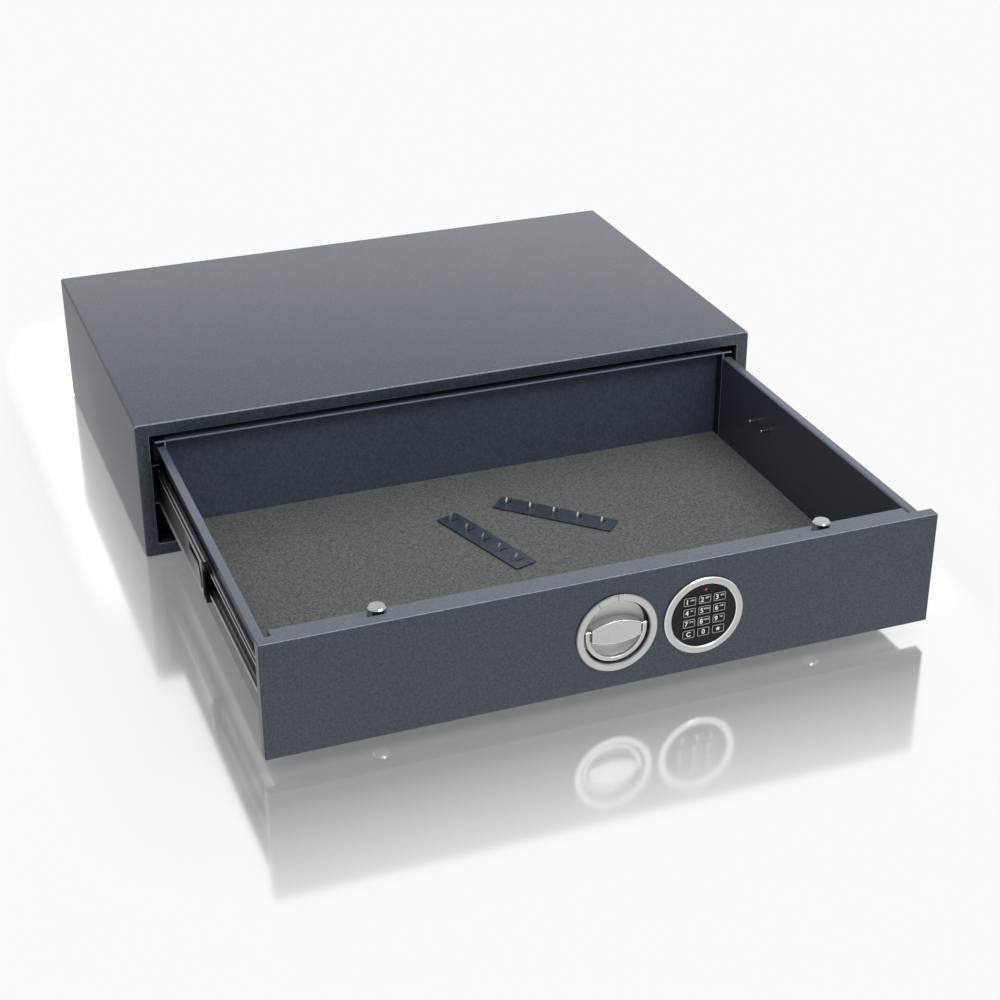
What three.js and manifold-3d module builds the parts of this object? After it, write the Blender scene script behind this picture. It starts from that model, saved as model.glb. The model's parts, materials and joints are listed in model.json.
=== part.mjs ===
// An under desk drawer safe: a flat steel casing with a shallow drawer that runs out of it on
// telescopic slides. The drawer's front carries a turning handle, a round keypad and the lock work.
// Millimetres, +Z up, +X to the right as seen from the front, +Y to the back.
// The origin is the middle of the casing's underside. The drawer is modelled run right out.
import * as THREE from "three";
import { mergeVertices } from "three/addons/utils/BufferGeometryUtils.js";
import Module from "manifold-3d";

const wasm = await Module();
wasm.setup();

// Driving dimensions
const casing = { width: 700, height: 153, depth: 444, sheet: 3, rearSheet: 2, edgeRadius: 3 };
const frame = { face: 14, sheet: 3, lipDepth: 10, lipSheet: 2, cornerRadius: 2 };
const slide = {
  thickness: 12.7,
  sideRoom: 2.8, // between a slide and the edge of the casing's mouth
  frontRoom: 4, // behind the frame's lip
  rearRoom: 30, // from a slide's rear end to the casing's rear edge
  sheet: 1.2,
  cabinetHeight: 46,
  middleHeight: 38.4,
  drawerHeight: 29.8,
  cabinetLip: 8.2,
  middleLip: 7.4,
  lipRoom: 1.3, // between the drawer member's lips and the inner ball cage
  middleLead: 10, // how far past half of the travel the middle members run
  overTravel: 24, // how much further than its own length a slide runs out
  holeDiameter: 5,
  holeFromEnd: 12,
};
const middleSlot = { front: 11, length: 43, low: 7.5, height: 8 };
const bracket = { sheet: 2, footWidth: 21.5, footFront: 34, rise: 4 };
const cage = {
  strip: 0.5,
  webRoom: 0.3,
  innerRoom: 1.6,
  tab: 3.5,
  ballRoom: 0.25,
  ballPitch: 22,
  balls: 7,
  margin: 8,
};
const bumper = { length: 13, web: 3, room: 0.3 };
const drawer = {
  sheet: 1.5,
  shutFace: 4, // the front panel's face stands this far in front of the casing with the drawer shut
  wallDrop: 10, // top of the side walls, below the panel's top edge
  floorRise: 6, // underside of the tray, above the panel's lower edge
  flange: 7.8, // top edge of each side wall, folded out over the slide
  rearRoom: 2.5, // behind the back plate with the drawer shut
};
const backPlate = { rise: 6.1, flange: 13.5, shoulder: 9.5, shoulderDrop: 28 };
const panel = { gap: 3.5, thickness: 12, skin: 4, sideRim: 20.5, topRim: 8.5, cornerRadius: 1.5 };
const housing = { drop: 7.5, sheet: 1.5, sideRoom: 3.7, boltRoom: 1.8 };
const underSlot = { length: 20, width: 5, fromEnd: 16.5, count: 5 };
const felt = { thickness: 3, room: 0.3 };
const bolt = {
  diameter: 17,
  fromEnd: 113, // a bolt's axis, from the end of the panel
  depth: 23.7, // from the panel's face to the bolts' axes
  chamfer: 1.3,
  room: 1, // between a withdrawn bolt's end and the edge of the casing's mouth
  pinDiameter: 5,
  pinHeight: 19.5, // cross pin, from mid height
  tail: 6.5, // below the cross pin
  fit: 0.3,
};
const bar = { thickness: 3, stripHeight: 10.9, edge: 2.8, margin: 8, fit: 0.4, forkRoom: 1 };
const guide = { width: 30, base: 2.2, shelf: 4, barRoom: 3, rearRoom: 0.3 };
const gear = {
  module: 1.5,
  teeth: 24,
  width: 4,
  addendum: 1.2,
  dedendum: 1.6,
  tooth: 1.95,
  foot: 3, // a pinion tooth's width at its root
  flank: 20,
};
const ring = { radius: 40.2, inner: 32.9, proud: 2.5, bevel: 0.9, sleeve: 3.1, sleeveRear: 1, fit: 0.3 };
const mark = { width: 0.9, depth: 0.5, edge: 0.7 };
const knob = {
  turnDegrees: 30,
  rimDepth: 1.2, // behind the ring's front face
  wall: 1.2,
  floor: 2.5,
  rearRoom: 1.9, // between the dish and the pinion
  slopeWidth: 7.4,
  slopeHeight: 12,
  flatRadius: 15,
};
const grip = {
  halfLength: 24.3,
  endHalfHeight: 6.7,
  topRise: 12.6,
  bottomDrop: 11.2,
  depth: 9.5,
  set: 1, // its face, behind the ring's front face
  stemHalfLength: 12,
  stemHalfHeight: 4.5,
};
const bail = {
  width: 4.3,
  depth: 4.2,
  wallRoom: 0.8,
  pivotDepth: 2,
  pivotHeight: 3.2,
  pin: 2.4,
  pinLength: 3.5,
  fit: 0.3,
};
const spindle = { diameter: 10, bushDiameter: 18, bushLength: 3.5 };
const keypad = {
  offset: 87.5, // to the right of the handle
  faceDepth: 1.5, // behind the ring's front face
  rearRoom: 2, // between the keypad's body and the locking bar
  pocketDepth: 3.5,
  keyPitchX: 15.2,
  keyPitchZ: 11.6,
  keyWidth: 13.2,
  keyHeight: 9.6,
  keyRadius: 1.8,
  keyThickness: 3,
  keyProud: 0.8,
};
const lamp = { right: 1, rise: 27, diameter: 2.8, proud: 0.3, length: 2.8 };
const lock = {
  width: 30,
  height: 46,
  keypadRoom: 8.5,
  rearRoom: 2,
  bolt: 5,
  tip: 5, // how far the lock's bolt stands out of its case
  tipRoom: 0.6, // between that bolt's tip and the locking bar
  stroke: 7.5,
  tail: 14,
};
const battery = { width: 60, height: 60, depth: 16, left: 142, bottom: 46 };
const lead = {
  diameter: 3,
  depth: 16.5,
  drop: 8, // where the keypad's lead leaves it, below mid height
  straight: 3,
  exitRise: 10, // where the battery's lead leaves its box, above the box's floor
  fall: 40, // the length in which it comes down to its low run
  low: 33.5,
  lowEnd: 42, // from the end of the low run to the middle of the keypad
  bend: 12,
};
const strip = { length: 135, width: 26, sheet: 1.5, pitch: 27.4, hooks: 5, room: 0.3 };
const firstStrip = { x: -21.2, fromFace: 285.5, degrees: 17.9 }; // its middle, and how far it is turned
const secondStrip = { x: 68.4, fromFace: 314.1, degrees: 45.4 };
const hook = { height: 9, width: 2, sheet: 1.2, lean: 2.2, slot: 11, offset: 4.3, bend: 5 };
const stud = { diameter: 4, length: 9.5, first: 87, pitch: 27.4, below: 40 };

// Places worked out from the driving dimensions
const front = -casing.depth / 2;
const rear = casing.depth / 2;
const middle = casing.height / 2;
const mouth = {
  half: casing.width / 2 - frame.face,
  bottom: frame.face,
  top: casing.height - frame.face,
};
const slideOut = mouth.half - slide.sideRoom;
const slideIn = slideOut - slide.thickness;
const wallIn = slideIn - drawer.sheet;
const slideLength = casing.depth - frame.lipDepth - slide.frontRoom - slide.rearRoom;
const travel = slideLength + slide.overTravel;
const middleStroke = travel / 2 + slide.middleLead;
const face = front - drawer.shutFace - travel;
const panelRear = face + panel.thickness;
const pocketFloor = face + panel.skin;
const panelHalf = mouth.half - panel.gap;
const panelBottom = mouth.bottom + panel.gap;
const panelTop = mouth.top - panel.gap;
const wallTop = panelTop - drawer.wallDrop;
const floorBottom = panelBottom + drawer.floorRise;
const floorTop = floorBottom + drawer.sheet;
const boxRear = rear - casing.rearSheet - drawer.rearRoom - travel;
const plateFront = boxRear - drawer.sheet;
const wallRear = plateFront - backPlate.flange;
const boltX = panelHalf - bolt.fromEnd;
const boltY = face + bolt.depth;
const boltRadius = bolt.diameter / 2;
const boltBore = bolt.diameter + 2 * bolt.fit;
const housingInside = boltY + boltRadius + housing.boltRoom;
const housingRear = housingInside + housing.sheet;
const housingTop = panelTop - housing.drop;
const housingHalf = wallIn - housing.sideRoom;
const pitchRadius = (gear.module * gear.teeth) / 2;
const rackPitch = Math.PI * gear.module;
const rackRoot = pitchRadius + gear.dedendum;
const boltThrow = pitchRadius * THREE.MathUtils.degToRad(knob.turnDegrees);
const slotRadius = bolt.pinDiameter / 2 + bolt.fit;
const plateHalfHeight = bolt.pinHeight + boltThrow + slotRadius + bar.edge;
const sleeveRadius = ring.inner + ring.sleeve;
const sleeveRear = panel.thickness + ring.sleeveRear;
const dishRadius = ring.inner - ring.fit;
const dishRim = -ring.proud + knob.rimDepth;
const dishRear = bolt.depth - gear.width / 2 - knob.rearRoom;
const dishFloor = dishRear - knob.floor;
const gripFace = -ring.proud + grip.set;
const keypadFace = -ring.proud + keypad.faceDepth;
const keypadRear = bolt.depth - bar.thickness / 2 - keypad.rearRoom;
const lockX = keypad.offset + sleeveRadius + lock.keypadRoom + lock.width / 2;
const lockTop = rackRoot - lock.tipRoom - lock.tip;
const feltTop = floorTop + felt.room + felt.thickness;

// Slide members and cages, as distances from the drawer's wall to each one's outer face
const cabinetWeb = slide.thickness;
const outerCageWeb = cabinetWeb - slide.sheet - cage.webRoom;
const middleWeb = outerCageWeb - cage.strip - cage.webRoom;
const innerCageWeb = middleWeb - slide.sheet - cage.innerRoom;
const drawerLip = innerCageWeb - cage.strip - slide.lipRoom;

// Ends of the slide members and cages
const cabinetFront = front + frame.lipDepth + slide.frontRoom;
const cabinetRear = cabinetFront + slideLength;
const middleFront = cabinetFront + bumper.length - middleStroke - slide.frontRoom;
const middleRear = middleFront + slideLength - bumper.length;
const memberFront = panelRear + bumper.room;
const memberRear = memberFront + slideLength;
const cageLength = cage.ballPitch * (cage.balls - 1) + 2 * cage.margin;

// Finishes
const finish = (color, roughness, metalness) =>
  new THREE.MeshStandardMaterial({ color, roughness, metalness });
const slateCoat = finish(0x4a505b, 0.6, 0.1);
const darkCoat = finish(0x353a44, 0.65, 0.1);
const zinc = finish(0xb9bcc0, 0.3, 0.9);
const chrome = finish(0xd8dadd, 0.12, 1);
const satin = finish(0xb4b5b5, 0.38, 0.9);
const steel = finish(0x8d9094, 0.45, 0.9);
const brass = finish(0xb08d4a, 0.4, 0.9);
const blackPlastic = finish(0x17181a, 0.5, 0);
const keyPlastic = finish(0x1d1f22, 0.45, 0);
const lampRed = finish(0xc8201c, 0.3, 0);
const feltGrey = finish(0x5a5855, 0.98, 0);

// Turns a closed geometry into a solid that can be joined and cut.
function solid(geometry) {
  geometry.deleteAttribute("normal");
  geometry.deleteAttribute("uv");
  const merged = mergeVertices(geometry, 1e-4);
  const corners = [];
  for (let i = 0; i < merged.index.count; i += 3) {
    const [a, b, c] = merged.index.array.slice(i, i + 3);
    if (a !== b && b !== c && c !== a) corners.push(a, b, c);
  }
  return new wasm.Manifold(
    new wasm.Mesh({
      numProp: 3,
      vertProperties: merged.attributes.position.array,
      triVerts: new Uint32Array(corners),
    }),
  );
}

// Turns a solid back into a geometry with flat faces.
function geometryOf(made) {
  const mesh = made.getMesh();
  const geometry = new THREE.BufferGeometry()
    .setAttribute("position", new THREE.BufferAttribute(mesh.vertProperties.slice(), 3))
    .setIndex(new THREE.BufferAttribute(mesh.triVerts.slice(), 1))
    .toNonIndexed();
  geometry.computeVertexNormals();
  return geometry;
}

const joined = (pieces) => pieces.reduce((whole, piece) => whole.add(piece));
const cutBy = (body, tools) => tools.reduce((left, tool) => left.subtract(tool), body);
const ordered = (a, b) => [Math.min(a, b), Math.max(a, b)];

function block([x0, x1], [y0, y1], [z0, z1]) {
  const box = new THREE.BoxGeometry(x1 - x0, y1 - y0, z1 - z0);
  return solid(box.translate((x0 + x1) / 2, (y0 + y1) / 2, (z0 + z1) / 2));
}

// Extrudes an outline drawn in (x, z) along Y, from one depth to another.
function extruded(outline, from, to, curveSegments = 4) {
  const options = { depth: to - from, bevelEnabled: false, curveSegments };
  const geometry = new THREE.ExtrudeGeometry(outline, options);
  return solid(geometry.rotateX(Math.PI / 2).translate(0, to, 0));
}

const polygon = (points) => new THREE.Shape(points.map(([u, v]) => new THREE.Vector2(u, v)));

function roundedRectangle([u0, u1], [v0, v1], r) {
  const outline = new THREE.Shape();
  outline.absarc(u1 - r, v0 + r, r, -Math.PI / 2, 0);
  outline.absarc(u1 - r, v1 - r, r, 0, Math.PI / 2);
  outline.absarc(u0 + r, v1 - r, r, Math.PI / 2, Math.PI);
  outline.absarc(u0 + r, v0 + r, r, Math.PI, 1.5 * Math.PI);
  return outline;
}

// Revolves [radius, depth] points, anticlockwise in that plane, about Y.
function turned(points, segments) {
  const closed = [...points, points[0]].map(([r, y]) => new THREE.Vector2(r, y));
  return solid(new THREE.LatheGeometry(closed, segments));
}

// A round rod along Y, along Z, or along X on the side named by its sign.
function rod(diameter, from, to, segments) {
  const cylinder = new THREE.CylinderGeometry(diameter / 2, diameter / 2, to - from, segments);
  return solid(cylinder.translate(0, (from + to) / 2, 0));
}

const uprightRod = (diameter, from, to, segments) => rod(diameter, from, to, segments).rotate([90, 0, 0]);

function sideRod(side, diameter, from, to, segments) {
  return rod(diameter, from, to, segments).rotate([0, 0, side > 0 ? -90 : 90]);
}

// A bent lead: an eight-sided tube through the points given.
function tube(diameter, points, steps) {
  const extrudePath = new THREE.CatmullRomCurve3(points.map((point) => new THREE.Vector3(...point)));
  const around = new THREE.Shape().absarc(0, 0, diameter / 2, 0, 2 * Math.PI);
  return solid(new THREE.ExtrudeGeometry(around, { extrudePath, steps, curveSegments: 4 }));
}

const safe = new THREE.Group();
safe.name = "drawer_safe";

// A group of pieces that are put together before they go in.
function assembly(name, parent = safe) {
  const group = new THREE.Group();
  group.name = name;
  parent.add(group);
  return group;
}

// Names one solid, gives it its finish and puts it in its place.
function place(group, name, made, material, x = 0, y = 0, z = 0) {
  const mesh = new THREE.Mesh(geometryOf(made), material);
  mesh.name = name;
  mesh.position.set(x, y, z);
  group.add(mesh);
  return mesh;
}

// Each side has a name and the sign of its X.
const sides = [
  ["left", -1],
  ["right", 1],
];

// Casing: a wrapper of top, sides and bottom.
function casingShell() {
  const { width, height, sheet, edgeRadius } = casing;
  const half = width / 2;
  const outside = roundedRectangle([-half, half], [0, height], edgeRadius);
  const inside = block([-half + sheet, half - sheet], [front, rear + sheet], [sheet, height - sheet]);
  return extruded(outside, front + frame.sheet, rear).subtract(inside);
}

// Front frame: a flat ring with a lip that runs back from its mouth.
function frontFrame() {
  const { half, bottom, top } = mouth;
  const { sheet, lipDepth, lipSheet, cornerRadius } = frame;
  const side = casing.width / 2;
  const outside = roundedRectangle([-side, side], [0, casing.height], casing.edgeRadius);
  const hole = roundedRectangle([-half, half], [bottom, top], cornerRadius);
  const lipOutside = roundedRectangle(
    [-half - lipSheet, half + lipSheet],
    [bottom - lipSheet, top + lipSheet],
    cornerRadius + lipSheet,
  );
  const flat = extruded(outside, front, front + sheet);
  const lip = extruded(lipOutside, front + sheet, front + lipDepth);
  return flat.add(lip).subtract(extruded(hole, front - sheet, front + 2 * lipDepth));
}

function rearPanel() {
  const half = casing.width / 2 - casing.sheet;
  return block([-half, half], [rear - casing.rearSheet, rear], [casing.sheet, casing.height - casing.sheet]);
}

// Slides: each member is a channel, its web's outer face and its lips' ends given as distances
// from the drawer's wall.
function channel(side, halfHeight, web, lipEnd, sheet, y0, y1) {
  const x = (distance) => side * (slideIn + distance);
  const inner = web + Math.sign(lipEnd - web) * sheet;
  const points = [
    [x(web), middle - halfHeight],
    [x(web), middle + halfHeight],
    [x(lipEnd), middle + halfHeight],
    [x(lipEnd), middle + halfHeight - sheet],
    [x(inner), middle + halfHeight - sheet],
    [x(inner), middle - halfHeight + sheet],
    [x(lipEnd), middle - halfHeight + sheet],
    [x(lipEnd), middle - halfHeight],
  ];
  return extruded(polygon(points), y0, y1);
}

function cabinetMember(side) {
  const lipEnd = cabinetWeb - slide.cabinetLip;
  return channel(side, slide.cabinetHeight / 2, cabinetWeb, lipEnd, slide.sheet, cabinetFront, cabinetRear);
}

function middleMember(side) {
  const lipEnd = middleWeb - slide.middleLip;
  const body = channel(side, slide.middleHeight / 2, middleWeb, lipEnd, slide.sheet, middleFront, middleRear);
  const slot = block(
    ordered(side * (slideIn + middleWeb - 2 * slide.sheet), side * (slideOut + slide.sheet)),
    [middleFront + middleSlot.front, middleFront + middleSlot.front + middleSlot.length],
    [middle + middleSlot.low, middle + middleSlot.low + middleSlot.height],
  );
  return body.subtract(slot);
}

function drawerMember(side) {
  const body = channel(side, slide.drawerHeight / 2, 0, drawerLip, slide.sheet, memberFront, memberRear);
  const holes = [memberFront + slide.holeFromEnd, memberRear - slide.holeFromEnd].map((y) =>
    sideRod(side, slide.holeDiameter, wallIn, slideOut, 12).translate(0, y, middle),
  );
  return cutBy(body, holes);
}

// Black end piece on the front of each middle member: two arms on a narrow web.
function slideBumper(side) {
  const half = slide.middleHeight / 2;
  const inner = slide.drawerHeight / 2 + cage.ballRoom;
  const y1 = middleFront - bumper.room;
  const arm = ordered(side * (slideIn + middleWeb - slide.middleLip), side * (slideIn + middleWeb));
  const web = ordered(side * (slideIn + drawerLip + cage.innerRoom), side * (slideIn + middleWeb));
  return joined([
    block(web, [y1 - bumper.web, y1], [middle - half, middle + half]),
    block(arm, [middleFront - bumper.length, y1], [middle + inner, middle + half]),
    block(arm, [middleFront - bumper.length, y1], [middle - half, middle - inner]),
  ]);
}

// A ball cage between two members: a strip with tabs that hold a row of balls above and below.
function ballCage(side, web, innerHalf, outerHalf, centre) {
  const tabHeight = (innerHalf + outerHalf) / 2;
  const radius = (outerHalf - innerHalf) / 2 - cage.ballRoom;
  const y0 = centre - cageLength / 2;
  const tabEnd = web - cage.tab;
  const pieces = [channel(side, tabHeight + cage.strip / 2, web, tabEnd, cage.strip, y0, y0 + cageLength)];
  for (const row of [-1, 1]) {
    for (let i = 0; i < cage.balls; i += 1) {
      const y = y0 + cage.margin + i * cage.ballPitch;
      const ball = solid(new THREE.SphereGeometry(radius, 6, 3));
      pieces.push(ball.translate(side * (slideIn + tabEnd), y, middle + row * tabHeight));
    }
  }
  return joined(pieces);
}

function outerCage(side) {
  const outerHalf = slide.cabinetHeight / 2 - slide.sheet;
  return ballCage(side, outerCageWeb, slide.middleHeight / 2, outerHalf, (cabinetFront + middleRear) / 2);
}

function innerCage(side) {
  const outerHalf = slide.middleHeight / 2 - slide.sheet;
  return ballCage(side, innerCageWeb, slide.drawerHeight / 2, outerHalf, (middleFront + memberRear) / 2);
}

// Angle bracket that carries a slide on the casing's floor.
function slideBracket(side) {
  const { sheet, footWidth, footFront, rise } = bracket;
  const x = (distance) => side * (slideOut + distance);
  const top = middle + slide.cabinetHeight / 2 + rise;
  const low = casing.sheet;
  const points = [
    [x(0), low + sheet],
    [x(0), top],
    [x(sheet), top],
    [x(sheet), low],
    [x(-footWidth), low],
    [x(-footWidth), low + sheet],
  ];
  return extruded(polygon(points), front + footFront, cabinetRear);
}

function boltHoles(low, high) {
  const hole = uprightRod(boltBore, low, high, 24);
  return sides.map(([, side]) => hole.translate(side * boltX, boltY, 0));
}

// Drawer tray: a folded sheet with its side walls' top edges turned out over the slides.
function drawerTray() {
  const { sheet, flange } = drawer;
  const pieces = [block([-slideIn, slideIn], [panelRear, plateFront], [floorBottom, floorTop])];
  for (const [, side] of sides) {
    const wall = ordered(side * wallIn, side * slideIn);
    const fold = ordered(side * wallIn, side * (slideIn + flange));
    pieces.push(block(wall, [panelRear, wallRear], [floorBottom, wallTop]));
    pieces.push(block(fold, [panelRear, wallRear], [wallTop - sheet, wallTop]));
  }
  const cuts = boltHoles(floorBottom - sheet, floorTop + sheet);
  const endSlot = slideIn - underSlot.fromEnd;
  for (let i = 0; i < underSlot.count; i += 1) {
    const x = ((2 * i) / (underSlot.count - 1) - 1) * endSlot;
    cuts.push(
      block(
        [x - underSlot.length / 2, x + underSlot.length / 2],
        [boltY - underSlot.width / 2, boltY + underSlot.width / 2],
        [floorBottom - sheet, floorTop + sheet],
      ),
    );
  }
  return cutBy(joined(pieces), cuts);
}

// Back plate: wider above the slides, with its top and side edges folded forward.
function drawerBackPlate() {
  const { rise, shoulder, shoulderDrop } = backPlate;
  const top = wallTop + rise;
  const wide = [-slideIn - shoulder, slideIn + shoulder];
  const pieces = [
    block([-slideIn, slideIn], [plateFront, boxRear], [floorBottom, top]),
    block(wide, [plateFront, boxRear], [top - shoulderDrop, top]),
    block(wide, [wallRear, boxRear], [top - drawer.sheet, top]),
  ];
  for (const [, side] of sides) {
    pieces.push(block(ordered(side * wallIn, side * slideIn), [wallRear, boxRear], [floorTop, top]));
  }
  return joined(pieces);
}

// Front panel: a thick plate, relieved behind where the lock work sits.
function frontPanel() {
  const { sideRim, topRim, cornerRadius, thickness } = panel;
  const outside = roundedRectangle([-panelHalf, panelHalf], [panelBottom, panelTop], cornerRadius);
  const relief = block(
    [-panelHalf + sideRim, panelHalf - sideRim],
    [pocketFloor, panelRear + thickness],
    [panelBottom + topRim, panelTop - topRim],
  );
  const hole = rod(2 * (sleeveRadius + ring.fit), face - thickness, panelRear, 40);
  const holes = [0, keypad.offset].map((x) => hole.translate(x, 0, middle));
  return cutBy(extruded(outside, face, panelRear), [relief, ...holes]);
}

// Cover of the lock work: a shallow pan on the back of the panel.
function lockHousing() {
  const { sheet } = housing;
  const body = block([-housingHalf, housingHalf], [panelRear, housingRear], [floorTop, housingTop]);
  const inside = block(
    [-housingHalf + sheet, housingHalf - sheet],
    [face, housingInside],
    [floorTop + sheet, housingTop - sheet],
  );
  return cutBy(body, [inside, ...boltHoles(floorBottom, housingTop + sheet)]);
}

function feltLiner() {
  const half = wallIn - felt.room;
  const along = [housingRear + felt.room, plateFront - felt.room];
  return block([-half, half], along, [floorTop + felt.room, feltTop]);
}

// Key hook strip: a flat strip with tongues punched out of it and bent up.
function hookStrip() {
  const { length, width, sheet, pitch, hooks } = strip;
  const x = -hook.offset;
  const tongue = polygon([
    [x - hook.sheet, sheet / 2],
    [x, sheet / 2],
    [x, sheet + hook.bend],
    [x + hook.lean, sheet + hook.height],
    [x + hook.lean - hook.sheet, sheet + hook.height],
    [x - hook.sheet, sheet + hook.bend],
  ]);
  const tongues = [];
  const slots = [];
  for (let i = 0; i < hooks; i += 1) {
    const y = (i - (hooks - 1) / 2) * pitch;
    const along = [y - hook.width / 2, y + hook.width / 2];
    tongues.push(extruded(tongue, ...along));
    slots.push(block([x, x + hook.slot], along, [-sheet, 2 * sheet]));
  }
  const body = block([-width / 2, width / 2], [-length / 2, length / 2], [0, sheet]);
  return joined([cutBy(body, slots), ...tongues]);
}

// Stud on the inside of the drawer's right wall, on which a hook strip hangs.
function wallStud() {
  const r = stud.diameter / 2;
  const points = [
    [0, 0],
    [r, 0],
    [r, stud.length - r],
    [0.8 * r, stud.length - 0.4 * r],
    [0.4 * r, stud.length],
    [0, stud.length],
  ];
  return turned(points, 12).rotate([0, 0, 90]);
}

// Bolt: a round bar, forked at its inner end over the locking bar, with a cross pin.
// Its heights are taken from mid height.
function lockingBolt() {
  const tip = mouth.top - bolt.room - middle;
  const tail = bolt.pinHeight - bolt.tail;
  const points = [
    [0, tail],
    [boltRadius, tail],
    [boltRadius, tip - bolt.chamfer],
    [boltRadius - bolt.chamfer, tip],
    [0, tip],
  ];
  const forkHalf = bar.thickness / 2 + bar.fit;
  const fork = block(
    [-bolt.diameter, bolt.diameter],
    [-forkHalf, forkHalf],
    [0, plateHalfHeight + bar.forkRoom],
  );
  const pinHalf = boltRadius - bolt.chamfer;
  const pin = rod(bolt.pinDiameter, -pinHalf, pinHalf, 12).translate(0, 0, bolt.pinHeight);
  return turned(points, 24).rotate([90, 0, 0]).subtract(fork).add(pin);
}

// Guide of a pair of bolts: a back plate with a bored shelf above and one below.
function boltGuide() {
  const half = guide.width / 2;
  const shelfLow = plateHalfHeight + guide.barRoom;
  const shelfHigh = shelfLow + guide.shelf;
  const y0 = pocketFloor - boltY;
  const y1 = housingInside - guide.rearRoom - boltY;
  const bore = uprightRod(boltBore, -shelfHigh - guide.shelf, shelfHigh + guide.shelf, 24);
  return joined([
    block([-half, half], [y0, y0 + guide.base], [-shelfHigh, shelfHigh]),
    block([-half, half], [y0, y1], [shelfLow, shelfHigh]),
    block([-half, half], [y0, y1], [-shelfHigh, -shelfLow]),
  ]).subtract(bore);
}

// The slanted slot that drives one bolt's pin outwards as the bar runs to the right.
function slantedSlot(x, row) {
  const from = new THREE.Vector2(x, row * bolt.pinHeight);
  const to = new THREE.Vector2(x - boltThrow, row * (bolt.pinHeight + boltThrow));
  const along = to.clone().sub(from).angle();
  const outline = new THREE.Shape();
  outline.absarc(from.x, from.y, slotRadius, along + Math.PI / 2, along + 1.5 * Math.PI);
  outline.absarc(to.x, to.y, slotRadius, along - Math.PI / 2, along + Math.PI / 2);
  return extruded(outline, -bar.thickness, bar.thickness, 8);
}

// Locking bar: a strip with a rack over the pinion, an end plate at each pair of bolts, and
// two notches for the lock's bolt, one for each end of the bar's stroke.
function lockingBar() {
  const flat = [-bar.thickness / 2, bar.thickness / 2];
  const through = [-bar.thickness, bar.thickness];
  const left = slotRadius + bar.margin + boltThrow;
  const right = slotRadius + bar.margin;
  const pieces = [block([-boltX - left, boltX + right], flat, [rackRoot, rackRoot + bar.stripHeight])];
  const cuts = [];
  for (const [, side] of sides) {
    const x = side * boltX;
    pieces.push(block([x - left, x + right], flat, [-plateHalfHeight, plateHalfHeight]));
    for (const row of [-1, 1]) cuts.push(slantedSlot(x, row));
  }
  const slope = Math.tan(THREE.MathUtils.degToRad(gear.flank));
  const rootHalf = gear.tooth / 2 + gear.dedendum * slope;
  const tipHalf = gear.tooth / 2 - gear.addendum * slope;
  const teethLeft = Math.ceil(boltThrow / rackPitch) + 2;
  for (let i = -teethLeft; i <= 2; i += 1) {
    const x = (i - 0.5) * rackPitch;
    const tooth = polygon([
      [x - tipHalf, pitchRadius - gear.addendum],
      [x + tipHalf, pitchRadius - gear.addendum],
      [x + rootHalf, rackRoot],
      [x + rootHalf, rackRoot + gear.dedendum],
      [x - rootHalf, rackRoot + gear.dedendum],
      [x - rootHalf, rackRoot],
    ]);
    pieces.push(extruded(tooth, ...flat));
  }
  const notchHalf = lock.bolt / 2 + bar.fit;
  const notchTop = lockTop + lock.tip + lock.stroke + bar.fit;
  for (const x of [lockX, lockX - boltThrow]) {
    cuts.push(block([x - notchHalf, x + notchHalf], through, [0, notchTop]));
  }
  return cutBy(joined(pieces), cuts);
}

function pinion() {
  const root = pitchRadius - gear.dedendum;
  const tip = pitchRadius + gear.addendum;
  const points = [];
  for (let i = 0; i < gear.teeth; i += 1) {
    const centre = Math.PI / 2 + (i * 2 * Math.PI) / gear.teeth;
    const corner = (radius, half) => {
      const angle = centre + half / radius;
      points.push([radius * Math.cos(angle), radius * Math.sin(angle)]);
    };
    corner(root, -gear.foot / 2);
    corner(pitchRadius, -gear.tooth / 2);
    corner(tip, -gear.tooth / 4);
    corner(tip, gear.tooth / 4);
    corner(pitchRadius, gear.tooth / 2);
    corner(root, gear.foot / 2);
  }
  const bore = rod(spindle.diameter + 2 * ring.fit, -gear.width, gear.width, 24);
  return extruded(polygon(points), -gear.width / 2, gear.width / 2).subtract(bore);
}

// Flat ring with a sleeve that passes through the panel.
function escutcheon() {
  const { radius, inner, proud, bevel } = ring;
  const points = [
    [inner, sleeveRear],
    [inner, -proud + bevel],
    [inner + bevel, -proud],
    [radius - bevel, -proud],
    [radius, -proud + bevel],
    [radius, 0],
    [sleeveRadius, 0],
    [sleeveRadius, sleeveRear],
  ];
  return turned(points, 40);
}

// The handle's ring has two index marks cut in its face, one for each end of the turn.
function knobRing() {
  const { proud, inner, radius } = ring;
  const wide = [-mark.width / 2, mark.width / 2];
  const cut = block(wide, [-2 * proud, -proud + mark.depth], [inner + mark.edge, radius - mark.edge]);
  return cutBy(
    escutcheon(),
    [0, knob.turnDegrees].map((angle) => cut.rotate([0, -angle, 0])),
  );
}

function knobDish() {
  const { wall, slopeWidth, slopeHeight, flatRadius } = knob;
  const inner = dishRadius - wall;
  const points = [
    [0, dishFloor],
    [flatRadius, dishFloor],
    [inner - slopeWidth, dishFloor - 0.25 * slopeHeight],
    [inner - 0.14 * slopeWidth, dishFloor - 0.67 * slopeHeight],
    [inner, dishFloor - slopeHeight],
    [inner, dishRim],
    [dishRadius, dishRim],
    [dishRadius, dishRear - wall],
    [dishRadius - wall, dishRear],
    [0, dishRear],
  ];
  return turned(points, 40);
}

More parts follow.
